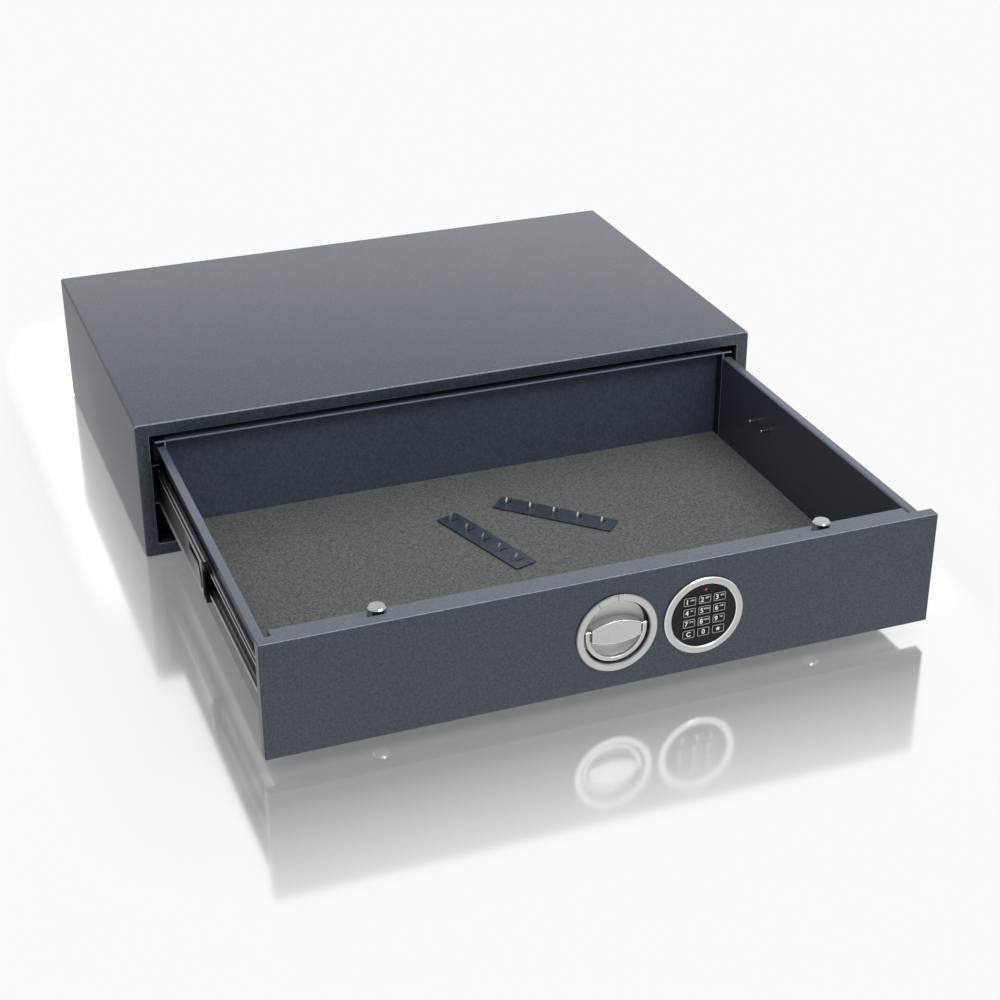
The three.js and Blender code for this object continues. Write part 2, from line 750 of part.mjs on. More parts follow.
// Grip: a lens-shaped bridge on a stem that stands on the dish's floor.
function gripBridge() {
  const { halfLength, endHalfHeight, topRise, bottomDrop, depth, stemHalfLength, stemHalfHeight } = grip;
  const outline = new THREE.Shape();
  outline.moveTo(-halfLength, -endHalfHeight);
  outline.quadraticCurveTo(0, endHalfHeight - 2 * bottomDrop, halfLength, -endHalfHeight);
  outline.lineTo(halfLength, endHalfHeight);
  outline.quadraticCurveTo(0, 2 * topRise - endHalfHeight, -halfLength, endHalfHeight);
  const bridge = extruded(outline, gripFace, gripFace + depth, 10);
  const stem = block(
    [-stemHalfLength, stemHalfLength],
    [gripFace + depth / 2, dishFloor],
    [-stemHalfHeight, stemHalfHeight],
  );
  const holes = sides.map(([, side]) =>
    sideRod(side, bail.pin + 2 * bail.fit, halfLength - bail.pinLength, dishRadius, 12)
      .translate(0, bail.pivotDepth, bail.pivotHeight),
  );
  return cutBy(bridge.add(stem), holes);
}

// Bail: a half ring that hangs from its two pins. Its origin is on the pins' axis.
function bailHandle() {
  const outer = dishRadius - knob.wall - bail.wallRoom;
  const inner = outer - bail.width;
  const rise = bail.pivotHeight;
  const outline = new THREE.Shape();
  outline.moveTo(outer, 0);
  outline.lineTo(inner, 0);
  outline.absarc(0, -rise, inner, 0, -Math.PI, true);
  outline.lineTo(-inner, 0);
  outline.lineTo(-outer, 0);
  outline.absarc(0, -rise, outer, Math.PI, 2 * Math.PI, false);
  const body = extruded(outline, -bail.depth / 2, bail.depth / 2, 12);
  const pinTip = grip.halfLength - bail.pinLength + bail.fit;
  const ends = sides.flatMap(([, side]) => [
    sideRod(side, bail.depth, inner, outer, 12),
    sideRod(side, bail.pin, pinTip, outer - bail.width / 2, 12),
  ]);
  return joined([body, ...ends]);
}

// Keypad: a round body with a pocket for each key and for the lamp.
const keySpots = ["1", "2", "3", "4", "5", "6", "7", "8", "9", "c", "0", "star"].map((label, i) => ({
  label,
  x: ((i % 3) - 1) * keypad.keyPitchX,
  z: (1.5 - Math.floor(i / 3)) * keypad.keyPitchZ,
}));

function keyOutline(room) {
  const half = keypad.keyWidth / 2 + room;
  const rise = keypad.keyHeight / 2 + room;
  return roundedRectangle([-half, half], [-rise, rise], keypad.keyRadius + room);
}

function keypadBody() {
  const pocket = extruded(keyOutline(ring.fit), dishRim - ring.proud, keypadFace + keypad.pocketDepth, 1);
  const lampHole = rod(lamp.diameter + 2 * ring.fit, dishRim - ring.proud, keypadFace + lamp.length, 12);
  return cutBy(rod(2 * dishRadius, keypadFace, keypadRear, 40), [
    lampHole.translate(lamp.right, 0, lamp.rise),
    ...keySpots.map(({ x, z }) => pocket.translate(x, 0, z)),
  ]);
}

function keyCap() {
  const start = keypadFace - keypad.keyProud;
  return extruded(keyOutline(0), start, start + keypad.keyThickness, 1);
}

function statusLamp() {
  const start = keypadFace - lamp.proud;
  return rod(lamp.diameter, start, start + lamp.length, 12);
}

// Lock case with an open shaft for its bolt
function lockCase() {
  const half = lock.width / 2;
  const deep = [pocketFloor - boltY, housingInside - lock.rearRoom - boltY];
  const bore = lock.bolt / 2 + bolt.fit;
  const shaft = block([-bore, bore], [-bore, bore], [lockTop - lock.tail - bolt.fit, lockTop + lock.tip]);
  return block([-half, half], deep, [lockTop - lock.height, lockTop]).subtract(shaft);
}

function lockBolt() {
  const half = lock.bolt / 2;
  return block([-half, half], [-half, half], [lockTop - lock.tail, lockTop + lock.tip]);
}

// Casing, slides and drawer
const fixed = assembly("casing");
place(fixed, "casing_shell", casingShell(), slateCoat);
place(fixed, "front_frame", frontFrame(), slateCoat);
place(fixed, "rear_panel", rearPanel(), slateCoat);
const middleSlides = assembly("middle_slides");
const cages = assembly("ball_cages");
const box = assembly("drawer");
for (const [name, side] of sides) {
  place(fixed, `slide_bracket_${name}`, slideBracket(side), darkCoat);
  place(fixed, `cabinet_member_${name}`, cabinetMember(side), zinc);
  place(middleSlides, `middle_member_${name}`, middleMember(side), zinc);
  place(middleSlides, `slide_bumper_${name}`, slideBumper(side), blackPlastic);
  place(cages, `ball_cage_outer_${name}`, outerCage(side), steel);
  place(cages, `ball_cage_inner_${name}`, innerCage(side), steel);
  place(box, `drawer_member_${name}`, drawerMember(side), zinc);
}
place(box, "drawer_tray", drawerTray(), darkCoat);
place(box, "drawer_back_plate", drawerBackPlate(), darkCoat);
place(box, "front_panel", frontPanel(), slateCoat);
place(box, "lock_housing", lockHousing(), darkCoat);
place(box, "felt_liner", feltLiner(), feltGrey);
[firstStrip, secondStrip].forEach(({ x, fromFace, degrees }, i) => {
  const name = `key_hook_strip_${i + 1}`;
  const mesh = place(box, name, hookStrip(), steel, x, face + fromFace, feltTop + strip.room);
  mesh.rotation.z = THREE.MathUtils.degToRad(degrees);
});
for (const i of [0, 1]) {
  const y = front - stud.first - i * stud.pitch;
  place(box, `wall_stud_${i + 1}`, wallStud(), steel, wallIn, y, wallTop - stud.below);
}

// Lock work behind the panel
for (const [name, side] of sides) {
  const x = side * boltX;
  place(box, `bolt_guide_${name}`, boltGuide(), steel, x, boltY, middle);
  place(box, `upper_bolt_${name}`, lockingBolt(), chrome, x, boltY, middle);
  place(box, `lower_bolt_${name}`, lockingBolt().rotate([180, 0, 0]), chrome, x, boltY, middle);
}
place(box, "locking_bar", lockingBar(), steel, 0, boltY, middle);
place(box, "lock_case", lockCase(), steel, lockX, boltY, middle);
place(box, "lock_bolt", lockBolt(), brass, lockX, boltY, middle);

// Handle: the fixed ring and bush, and what turns in them
place(box, "knob_ring", knobRing(), satin, 0, face, middle);
const bushInner = spindle.diameter / 2 + ring.fit;
const bush = [
  [bushInner, 0],
  [spindle.bushDiameter / 2, 0],
  [spindle.bushDiameter / 2, spindle.bushLength],
  [bushInner, spindle.bushLength],
];
place(box, "spindle_bush", turned(bush, 24), brass, 0, housingInside - spindle.bushLength, middle);
const handle = assembly("handle", box);
handle.position.set(0, face, middle);
const spindleRod = rod(spindle.diameter, dishRear, housingInside - ring.fit - face, 24);
place(handle, "knob_dish", knobDish(), satin);
place(handle, "grip_bridge", gripBridge(), satin);
place(handle, "spindle", spindleRod, steel);
place(handle, "pinion", pinion(), brass, 0, bolt.depth, 0);
place(handle, "bail_handle", bailHandle(), satin, 0, bail.pivotDepth, bail.pivotHeight);

// Keypad
const pad = assembly("keypad", box);
pad.position.set(keypad.offset, face, middle);
place(pad, "keypad_ring", escutcheon(), satin);
place(pad, "keypad_body", keypadBody(), blackPlastic);
place(pad, "status_led", statusLamp(), lampRed, lamp.right, 0, lamp.rise);
for (const { label, x, z } of keySpots) place(pad, `key_${label}`, keyCap(), keyPlastic, x, 0, z);

// Battery box, and the leads that run from it to the keypad and on to the lock
const batteryX = [-battery.left, -battery.left + battery.width];
const batteryZ = [battery.bottom, battery.bottom + battery.height];
const batteryBox = block(batteryX, [pocketFloor, pocketFloor + battery.depth], batteryZ);
place(box, "battery_box", batteryBox, blackPlastic);

const leadY = face + lead.depth;
const exitHalf = Math.sqrt(dishRadius ** 2 - (lead.drop - lead.diameter / 2) ** 2);
const padExit = keypad.offset + exitHalf + bolt.fit;
const lockEntry = lockX - lock.width / 2 - bolt.fit;
const keypadRoute = [
  [padExit, leadY, middle - lead.drop],
  [padExit + lead.straight, leadY, middle - lead.drop],
  [lockEntry - lead.straight, leadY, middle - 2 * lead.drop],
  [lockEntry, leadY, middle - 2 * lead.drop],
];
place(box, "keypad_lead", tube(lead.diameter, keypadRoute, 8), blackPlastic);

const batteryExit = batteryX[1] + bolt.fit;
const padBottom = middle - dishRadius - bolt.fit;
const exitZ = batteryZ[0] + lead.exitRise;
const batteryRoute = [
  [batteryExit, leadY, exitZ],
  [batteryExit + lead.straight, leadY, exitZ],
  [batteryExit + 0.55 * lead.fall, leadY, lead.low + 0.05 * (exitZ - lead.low)],
  [batteryExit + lead.fall, leadY, lead.low],
  [keypad.offset - lead.lowEnd, leadY, lead.low],
  [keypad.offset - lead.bend, leadY, lead.low],
  [keypad.offset - lead.diameter, leadY, lead.low + lead.diameter],
  [keypad.offset, leadY, padBottom - lead.straight],
  [keypad.offset, leadY, padBottom],
];
place(box, "battery_lead", tube(lead.diameter, batteryRoute, 22), blackPlastic);

export default safe;
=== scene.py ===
# The looks of an under desk drawer safe: a powder-coated casing and drawer, telescopic slides,
# a turning handle, a round keypad and the lock work, each made around the fixed frame.
import json
import math

import bmesh
import bpy
from mathutils import Matrix, Vector

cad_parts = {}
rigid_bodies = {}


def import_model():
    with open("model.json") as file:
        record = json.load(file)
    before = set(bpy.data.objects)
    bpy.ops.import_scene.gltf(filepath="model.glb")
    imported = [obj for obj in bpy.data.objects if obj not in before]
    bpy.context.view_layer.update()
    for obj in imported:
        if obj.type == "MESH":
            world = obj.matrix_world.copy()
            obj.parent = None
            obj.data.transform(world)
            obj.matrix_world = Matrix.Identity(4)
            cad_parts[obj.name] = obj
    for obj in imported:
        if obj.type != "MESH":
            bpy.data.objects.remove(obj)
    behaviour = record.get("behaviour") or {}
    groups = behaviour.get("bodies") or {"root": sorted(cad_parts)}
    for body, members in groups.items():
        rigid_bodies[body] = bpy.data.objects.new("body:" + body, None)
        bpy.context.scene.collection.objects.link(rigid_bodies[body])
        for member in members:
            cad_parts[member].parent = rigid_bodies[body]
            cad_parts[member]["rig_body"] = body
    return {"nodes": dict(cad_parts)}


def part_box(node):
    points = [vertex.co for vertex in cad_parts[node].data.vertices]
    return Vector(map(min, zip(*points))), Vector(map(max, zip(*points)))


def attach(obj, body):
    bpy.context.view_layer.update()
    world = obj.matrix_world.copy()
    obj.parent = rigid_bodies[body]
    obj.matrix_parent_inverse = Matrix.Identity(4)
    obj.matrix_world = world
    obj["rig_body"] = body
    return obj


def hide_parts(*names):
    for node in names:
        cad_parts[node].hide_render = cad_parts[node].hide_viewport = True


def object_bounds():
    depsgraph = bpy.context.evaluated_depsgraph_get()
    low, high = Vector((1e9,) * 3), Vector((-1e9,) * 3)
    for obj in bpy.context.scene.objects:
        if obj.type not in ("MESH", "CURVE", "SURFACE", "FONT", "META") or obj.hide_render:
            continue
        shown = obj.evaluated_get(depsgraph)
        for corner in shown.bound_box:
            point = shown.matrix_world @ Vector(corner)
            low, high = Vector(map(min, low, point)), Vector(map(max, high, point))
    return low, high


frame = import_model()
cad_low, cad_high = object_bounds()

# Camera
# It stands to the left of the safe and above it, where the photograph was taken from, with a
# long lens.
lens = bpy.data.cameras.new("camera")
lens.sensor_width = 36
lens.lens = 70.114
camera = bpy.data.objects.new("camera", lens)
camera_place = Vector((-0.6359, -2.0309, 1.0057))
camera_ahead = Vector((0.31363, 0.82877, -0.46344))
camera_roll = math.radians(-0.108)
camera.matrix_world = (
    Matrix.Translation(camera_place)
    @ camera_ahead.to_track_quat("-Z", "Y").to_matrix().to_4x4()
    @ Matrix.Rotation(camera_roll, 4, "Z")
)
scene = bpy.context.scene
scene.collection.objects.link(camera)
scene.camera = camera
scene.view_settings.view_transform = "Standard"


# Light and floor
# A white studio: soft light from all round, a broad lamp overhead, a long strip in front that
# picks out the edges, and a panel behind that shines on the casing's top. The pale floor mirrors
# what stands near, as a glossy table does, and is white further off.
class Socket:
    """One output of a shader node. Arithmetic on it adds Math nodes."""

    def __init__(self, finish, output):
        self.finish = finish
        self.output = output

    def math(self, operation, *values):
        return self.finish.node("ShaderNodeMath", {"operation": operation}, dict(enumerate(values)))

    def __add__(self, other):
        return self.math("ADD", self, other)

    def __sub__(self, other):
        return self.math("SUBTRACT", self, other)

    def __mul__(self, other):
        return self.math("MULTIPLY", self, other)

    def __truediv__(self, other):
        return self.math("DIVIDE", self, other)

    def __pow__(self, other):
        return self.math("POWER", self, other)

    def __radd__(self, other):
        return self.math("ADD", other, self)

    def __rsub__(self, other):
        return self.math("SUBTRACT", other, self)

    def __rmul__(self, other):
        return self.math("MULTIPLY", other, self)

    def over(self, other):
        return self.math("GREATER_THAN", self, other)

    def at_least(self, other):
        return self.math("MAXIMUM", self, other)

    def size(self):
        return self.math("ABSOLUTE", self)

    def held(self):
        """Kept between 0 and 1."""
        return self.math("MINIMUM", self.at_least(0), 1)


class Finish:
    """A material in the making: its shader, whose constants are set first, and what feeds it."""

    def __init__(self, name, constants, owner=None):
        self.owner = owner or bpy.data.materials.new(name)
        self.owner.use_nodes = True
        self.tree = self.owner.node_tree
        self.shader = self.tree.nodes.get("Principled BSDF")
        for socket, value in constants.items():
            self.shader.inputs[socket].default_value = value

    def node(self, kind, settings, values, output=0):
        """Adds a node, with its settings first, then the values or links of its inputs."""
        made = self.tree.nodes.new(kind)
        for key, value in settings.items():
            if key == "stops":
                ramp = made.color_ramp
                while len(ramp.elements) < len(value):
                    ramp.elements.new(1)
                for element, (position, colour) in zip(ramp.elements, value):
                    element.position = position
                    element.color = colour
            else:
                setattr(made, key, value)
        for key, value in values.items():
            if isinstance(value, Socket):
                self.tree.links.new(value.output, made.inputs[key])
            else:
                made.inputs[key].default_value = value
        return Socket(self, made.outputs[output]) if made.outputs else None

    def feed(self, socket, value):
        """Links a value to one of the shader's own inputs."""
        self.tree.links.new(value.output, self.shader.inputs[socket])

    def place(self):
        """Where a point of the piece is, in metres."""
        return self.node("ShaderNodeTexCoord", {}, {}, "Object")

    def split(self, vector):
        """The three numbers of a vector."""
        outputs = self.node("ShaderNodeSeparateXYZ", {}, {"Vector": vector}).output.node.outputs
        return [Socket(self, outputs[axis]) for axis in range(3)]

    def noise(self, grain, detail=2, rough=0.5, place=None):
        """Noise from 0 to 1 whose blotches are about as wide as grain, in metres."""
        values = {"Vector": place or self.place(), "Scale": 1 / grain}
        values |= {"Detail": detail, "Roughness": rough}
        return self.node("ShaderNodeTexNoise", {}, values, "Fac")

    def ramp(self, factor, stops):
        """A colour between the stops, which are (place, colour) pairs."""
        return self.node("ShaderNodeValToRGB", {"stops": stops}, {"Fac": factor})

    def blend(self, factor, a, b):
        """Mixes two colours."""
        return self.node("ShaderNodeMix", {"data_type": "RGBA"}, {"Factor": factor, 6: a, 7: b}, 2)

    def bump(self, height, distance):
        """The normals of a surface that rises and falls by a distance."""
        values = {"Strength": 1.0, "Distance": distance, "Height": height}
        return self.node("ShaderNodeBump", {}, values)


def paint(code):
    """A colour written as on a screen, as linear light."""
    channels = [int(code[i : i + 2], 16) / 255 for i in (0, 2, 4)]
    linear = [c / 12.92 if c <= 0.04045 else ((c + 0.055) / 1.055) ** 2.4 for c in channels]
    return (*linear, 1.0)


backdrop_white = paint("fafafa")
world_level = 0.62

world = bpy.data.worlds.new("studio")
scene.world = world
sky = Finish("studio", {}, world)
sky.tree.nodes.clear()
seen = [
    sky.node("ShaderNodeLightPath", {}, {}, f"Is {kind} Ray")
    for kind in ("Camera", "Glossy", "Transmission")
]
shown = (seen[0] + seen[1] + seen[2]).held()
soft = sky.node("ShaderNodeBackground", {}, {"Color": (1, 1, 1, 1), "Strength": world_level})
white = sky.node("ShaderNodeBackground", {}, {"Color": backdrop_white, "Strength": 1.0})
both = sky.node("ShaderNodeMixShader", {}, {0: shown, 1: soft, 2: white})
sky.node("ShaderNodeOutputWorld", {}, {"Surface": both})


def soft_lamp(name, place, aim, size, level, glossy=True):
    """A lamp as wide and high as size, in metres, and about level times as bright as white."""
    light = bpy.data.lights.new(name, "AREA")
    light.shape = "RECTANGLE"
    light.size, light.size_y = size
    light.energy = level * 4 * size[0] * size[1]
    made = bpy.data.objects.new(name, light)
    toward = (aim - place).to_track_quat("-Z", "Y").to_matrix().to_4x4()
    made.matrix_world = Matrix.Translation(place) @ toward
    made.visible_glossy = glossy
    scene.collection.objects.link(made)


soft_lamp("overhead", Vector((0.1, 0.5, 4.0)), Vector((0.1, 0.5, 0)), (6, 6), 0.5, glossy=False)
soft_lamp("edge_strip", Vector((0.85, -1.8, 2.25)), Vector((0, -0.45, 0.1)), (1.9, 0.4), 7.5)
soft_lamp("back_panel", Vector((0.85, 2.5, 1.1)), Vector((0, 0, 0.15)), (3.4, 1.2), 0.64)

floor_half = 12.0
floor_drop = 0.0006
mirror_share = 0.78  # how much of what stands beside the object the floor mirrors
mirror_reach = 0.263  # how far from the object it mirrors anything
side_falloff = 12  # how much faster the mirror fades to the sides than to the front, squared
under_share = 0.2  # how much less it mirrors below the object
under_reach = 0.035  # how far out from below the object that goes
shade_reach = 0.16  # how far from the object its shadow goes
shade_depth = 0.5  # how much of its own white the floor loses there, as the camera sees it
shade_glow = 0.4  # how much white it has there, as glossy surfaces see it

floor_paint = {"Base Color": paint("e6e6e6"), "Roughness": 0.9, "Specular IOR Level": 0.2}
ground = Finish("pale_floor", floor_paint)
across, along, _ = ground.split(ground.place())
stand_middle = (cad_low + cad_high) / 2
stand_half = (cad_high - cad_low) / 2
beside = ((across - stand_middle.x).size() - stand_half.x).at_least(0)
before = ((along - stand_middle.y).size() - stand_half.y).at_least(0)
away = (beside * beside + before * before) ** 0.5
slanted = (beside * beside * side_falloff + before * before) ** 0.5
mirror = ground.node("ShaderNodeBsdfGlossy", {}, {"Color": (1, 1, 1, 1), "Roughness": 0.11})
glow = ground.node("ShaderNodeEmission", {}, {"Color": backdrop_white, "Strength": 1.0})
from_camera = ground.node("ShaderNodeLightPath", {}, {}, "Is Camera Ray")
from_gloss = ground.node("ShaderNodeLightPath", {}, {}, "Is Glossy Ray")
matt = Socket(ground, ground.shader.outputs[0])
near = (1 - away / shade_reach).at_least(0) ** 1.5
own_light = from_camera * (1 - shade_depth * near) + from_gloss * near * shade_glow
lit = ground.node("ShaderNodeMixShader", {}, {0: own_light, 1: matt, 2: glow})
under = 1 - under_share * (1 - away / under_reach).at_least(0)
shine = mirror_share * under * (1 - slanted / mirror_reach).at_least(0)
glossy = ground.node("ShaderNodeMixShader", {}, {0: shine, 1: lit, 2: mirror})
ground.tree.links.new(glossy.output, ground.tree.nodes["Material Output"].inputs["Surface"])

floor_mesh = bpy.data.meshes.new("floor")
corners = [
    (-floor_half, -floor_half),
    (floor_half, -floor_half),
    (floor_half, floor_half),
    (-floor_half, floor_half),
]
floor_mesh.from_pydata([(x, y, -floor_drop) for x, y in corners], [], [(0, 1, 2, 3)])
floor_mesh.materials.append(ground.owner)
floor = bpy.data.objects.new("floor", floor_mesh)
scene.collection.objects.link(floor)


# Casing
# Folded from 3 mm steel sheet and welded, with a flat front frame whose lip runs back from the
# mouth; the seams are ground flush before the powder coat goes on, so it reads as one skin.
mm = 0.001
nodes = frame["nodes"]


def coat(name, colour, shade, grain, depth, wall=None, rim=None):
    """Powder coat: satin paint with an orange peel, and a little unevenness in its colour. Given a
    wall and a rim, it has painted shade further to the sides than the wall, and a painted highlight in
    front of the rim."""
    made = Finish(name, {"IOR": 1.5})
    peel = made.noise(grain, 3, 0.45)
    fine = made.noise(grain * 0.3, 2, 0.5)
    cloud = made.noise(0.12, 3, 0.5)
    mottle = peel * 0.6 + fine * 0.3 + cloud * 0.1
    skin = made.ramp(mottle, [(0.4, paint(shade)), (0.6, paint(colour))])
    # Painted shade: near black past the wall; painted highlight: pale before the rim.
    if wall:
        across, along, _ = made.split(made.place())
        skin = made.blend(across.size().over(wall), skin, paint("181a1f"))
        skin = made.blend(along.over(rim), paint("7c8698"), skin)
    made.feed("Base Color", skin)
    made.feed("Roughness", 0.3 + 0.1 * fine + 0.06 * cloud)
    made.feed("Normal", made.bump(peel * 0.8 + fine * 0.2, depth))
    return made.owner


slate_coat = coat("slate_coat", "3e4551", "29303c", 2.4 * mm, 0.11 * mm)
# A paler copy of the slate coat, put on rounded edges as a painted highlight.
highlight_coat = coat("highlight_coat", "8d96a8", "727c8e", 2.4 * mm, 0.03 * mm)


def rounded_outline(half, low, high, radius, steps=6):
    """Corner points of a rounded rectangle in (x, z), anticlockwise from the lower right."""
    points = []
    centres = ((half, low, -90), (half, high, 0), (-half, high, 90), (-half, low, 180))
    for x, z, start in centres:
        cx = x - math.copysign(radius, x)
        cz = z + radius if z == low else z - radius
        for i in range(steps + 1):
            angle = math.radians(start + 90 * i / steps)
            points.append((cx + radius * math.cos(angle), cz + radius * math.sin(angle)))
    return points


def lofted(name, rings, closed):
    """A mesh through rings of as many points each; open ends get a face."""
    mesh = bmesh.new()
    rows = [[mesh.verts.new(point) for point in ring] for ring in rings]
    count = len(rings[0])
    last = len(rows) if closed else len(rows) - 1
    for i in range(last):
        a, b = rows[i], rows[(i + 1) % len(rows)]
        for j in range(count):
            k = (j + 1) % count
            mesh.faces.new((a[j], a[k], b[k], b[j]))
    if not closed:
        mesh.faces.new(rows[0])
        mesh.faces.new(rows[-1])
    bmesh.ops.remove_doubles(mesh, verts=mesh.verts, dist=1e-7)
    bmesh.ops.recalc_face_normals(mesh, faces=mesh.faces)
    made = bpy.data.meshes.new(name)
    mesh.to_mesh(made)
    mesh.free()
    return made


def smoothed(mesh, degrees=32):
    """Shades a mesh smooth, but for the edges that turn by more than the angle."""
    mesh.shade_smooth()
    mesh.set_sharp_from_angle(angle=math.radians(degrees))
    return mesh


def marked(mesh, number, chosen):
    """Gives the faces that pass a test another of the mesh's finishes."""
    for face in mesh.polygons:
        if chosen(face):
            face.material_index = number
    return mesh


def edge_faces(face, least=0.25, most=0.97):
    """Whether a face is part of a rounded edge and looks partly forward."""
    return least < -face.normal.y < most


def fitted(name, mesh, finishes, slot, *stands_for):
    """Puts a finished mesh in the scene. It rides where the nodes that it stands for ride."""
    piece = bpy.data.objects.new(name, mesh)
    scene.collection.objects.link(piece)
    parts = [face.material_index for face in mesh.polygons]
    mesh.materials.clear()
    for finish in finishes if isinstance(finishes, list) else [finishes]:
        mesh.materials.append(finish)
    mesh.polygons.foreach_set("material_index", parts)
    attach(piece, nodes[stands_for[0]]["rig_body"])
    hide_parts(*stands_for)
    return piece


casing_low, casing_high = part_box("casing_shell")
frame_low, frame_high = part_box("front_frame")
casing_half = casing_high.x
casing_sheet = 3 * mm
mouth_inset = 14 * mm
lip_sheet = 2 * mm
outer_round = 3 * mm
front_round = 1.8 * mm
mouth_round = 1.1 * mm
mouth_corner, lip_corner, inside_corner = 2 * mm, 4 * mm, 0.5 * mm


def casing_ring(inset, radius, y):
    """The casing's outline at one depth, drawn in by the inset."""
    low, high = casing_low.z + inset, casing_high.z - inset
    return [(x, y, z) for x, z in rounded_outline(casing_half - inset, low, high, radius)]


def edge_rings(inset, y, radius, corner, toward, steps=5):
    """Rings round a quarter turn, from the outside of the casing to its front face or back."""
    rings = []
    for i in range(steps + 1):
        angle = math.radians(90 * i / steps)
        from_side = radius * (1 - math.cos(angle))
        from_face = radius * (1 - math.sin(angle))
        if toward == "front":
            rings.append(casing_ring(inset + from_side, corner, y + from_face))
        else:
            rings.append(casing_ring(inset - from_face, corner, y + from_side))
    return rings


casing_rings = [casing_ring(0, outer_round, casing_high.y)]
casing_rings += edge_rings(0, frame_low.y, front_round, outer_round, "front")
casing_rings += edge_rings(mouth_inset, frame_low.y, mouth_round, mouth_corner, "mouth")
casing_rings += [
    casing_ring(mouth_inset, mouth_corner, frame_high.y),
    casing_ring(mouth_inset - lip_sheet, lip_corner, frame_high.y),
    casing_ring(mouth_inset - lip_sheet, lip_corner, frame_low.y + casing_sheet),
    casing_ring(casing_sheet, inside_corner, frame_low.y + casing_sheet),
    casing_ring(casing_sheet, inside_corner, casing_high.y),
]


def casing_highlight_faces(face):
    """The upper outer edge and the mouth's edges, which get a painted highlight."""
    band = 0.6 * mouth_inset
    at_mouth = abs(face.center.x) < casing_half - band
    inner = at_mouth and band < face.center.z < casing_high.z - band
    return edge_faces(face, 0.3) and (inner or face.normal.z > 0.2)


# The casing's upper outer edge and its mouth's edges take the paler coat: a painted highlight.
casing_mesh = marked(smoothed(lofted("casing", casing_rings, True)), 1, casing_highlight_faces)
fitted("casing", casing_mesh, [slate_coat, highlight_coat], "slate_coat", "casing_shell", "front_frame")


# Rear panel, slide brackets and the drawer's back plate
# Steel sheets, cut and folded, powder-coated like the casing. The rear panel and the brackets are
# welded to the casing, and the back plate to the tray. Their folds carry a painted highlight, and
# the back plate is painted lighter, with painted shade on its ends and a painted highlight in front.
dark_coat = coat("dark_coat", "3a3e47", "2a2e37", 2.2 * mm, 0.05 * mm)
# A lighter copy of the dark coat for faces that look up: painted light on the tops.
top_light_coat = coat("top_light_coat", "555c6a", "464c59", 2.2 * mm, 0.05 * mm)
plate_shade_past, plate_highlight_before = 318.6 * mm, -220.3 * mm
# The back plate's coat: a paler copy of the dark coat as painted light, with painted shade on its ends
# past the walls and a painted highlight along its front.
plate_light_and_shade_coat = coat("plate_light_and_shade_coat", "505868", "3d4556", 2.2 * mm, 0.05 * mm, plate_shade_past, plate_highlight_before)


def softened(node, width, steps=2, turn=30, holed=False):
    """A copy of a node's mesh with its edges rounded; where none is holed, its flats are merged."""
    mesh = bmesh.new()
    mesh.from_mesh(nodes[node].data)
    bmesh.ops.remove_doubles(mesh, verts=mesh.verts, dist=1e-6)
    if not holed:
        angle = math.radians(1)
        bmesh.ops.dissolve_limit(mesh, angle_limit=angle, verts=mesh.verts, edges=mesh.edges)
    made = bpy.data.meshes.new(node)
    mesh.to_mesh(made)
    mesh.free()
    made.shade_smooth()
    piece = bpy.data.objects.new("softened", made)
    scene.collection.objects.link(piece)
    bevel = piece.modifiers.new("edges", "BEVEL")
    bevel.width = width
    bevel.segments = steps
    bevel.limit_method = "ANGLE"
    bevel.angle_limit = math.radians(turn)
    bevel.harden_normals = True
    bevel.miter_outer = "MITER_ARC"
    bevel.use_clamp_overlap = not holed
    return settled(piece)


def settled(piece):
    """The plain mesh that an object and its modifiers make; the object itself goes."""
    graph = bpy.context.evaluated_depsgraph_get()
    mesh = bpy.data.meshes.new_from_object(piece.evaluated_get(graph))
    bpy.data.objects.remove(piece)
    return mesh


both_sides = (("left", -1), ("right", 1))
sheet_edge, plate_edge = 0.4 * mm, 0.35 * mm
foot_height, fold_height, least_forward = 3 * mm, 1.5 * mm, 0.25
fitted("rear_panel_sheet", softened("rear_panel", sheet_edge), slate_coat, "slate_coat", "rear_panel")
for side_name, _ in both_sides:
    node = f"slide_bracket_{side_name}"
    foot_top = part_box(node)[0].z + foot_height
    sheet = softened(node, sheet_edge)
    # The front of each bracket's foot takes the paler coat: a painted highlight.
    marked(sheet, 1, lambda face: face.normal.y < -least_forward and face.center.z < foot_top)
    fitted(f"{node}_sheet", sheet, [dark_coat, highlight_coat], "dark_coat", node)
fold_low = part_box("drawer_back_plate")[1].z - fold_height
plate = softened("drawer_back_plate", plate_edge)
# The plate's fold, where it looks forward, takes the paler coat: a painted highlight.
marked(plate, 1, lambda face: face.normal.y < -least_forward and face.center.z > fold_low)
fitted("drawer_back_plate_sheet", plate, [plate_light_and_shade_coat, highlight_coat], "dark_coat", "drawer_back_plate")


# Front panel and the drawer's tray
# The panel is milled from plate, with a pocket behind for the lock work and two bores for the
# handle and the keypad. The tray is one folded sheet, and a pan covers the lock work.
def evened(mesh, degrees=32):
    """Shades a mesh smooth but for its sharp edges, with its flat faces kept flat."""
    piece = bpy.data.objects.new("evened", smoothed(mesh, degrees))
    scene.collection.objects.link(piece)
    weighted = piece.modifiers.new("even", "WEIGHTED_NORMAL")
    weighted.keep_sharp = True
    weighted.weight = 100
    return settled(piece)


def carved(mesh, tools, operation="DIFFERENCE"):
    """A mesh with others cut out of it, or put together with it."""
    piece = bpy.data.objects.new("carved", mesh)
    scene.collection.objects.link(piece)
    others = []
    for tool in tools:
        other = bpy.data.objects.new("tool", tool)
        scene.collection.objects.link(other)
        others.append(other)
        modifier = piece.modifiers.new("tool", "BOOLEAN")
        modifier.solver = "EXACT"
        modifier.operation = operation
        modifier.object = other
    mesh = settled(piece)
    for other in others:
        bpy.data.objects.remove(other)
    return mesh


def point_on(axis, along, first, second):
    """A point given by its place along an axis and, in the order of x, y and z, across it."""
    point = [first, second]
    point.insert("xyz".index(axis), along)
    return point


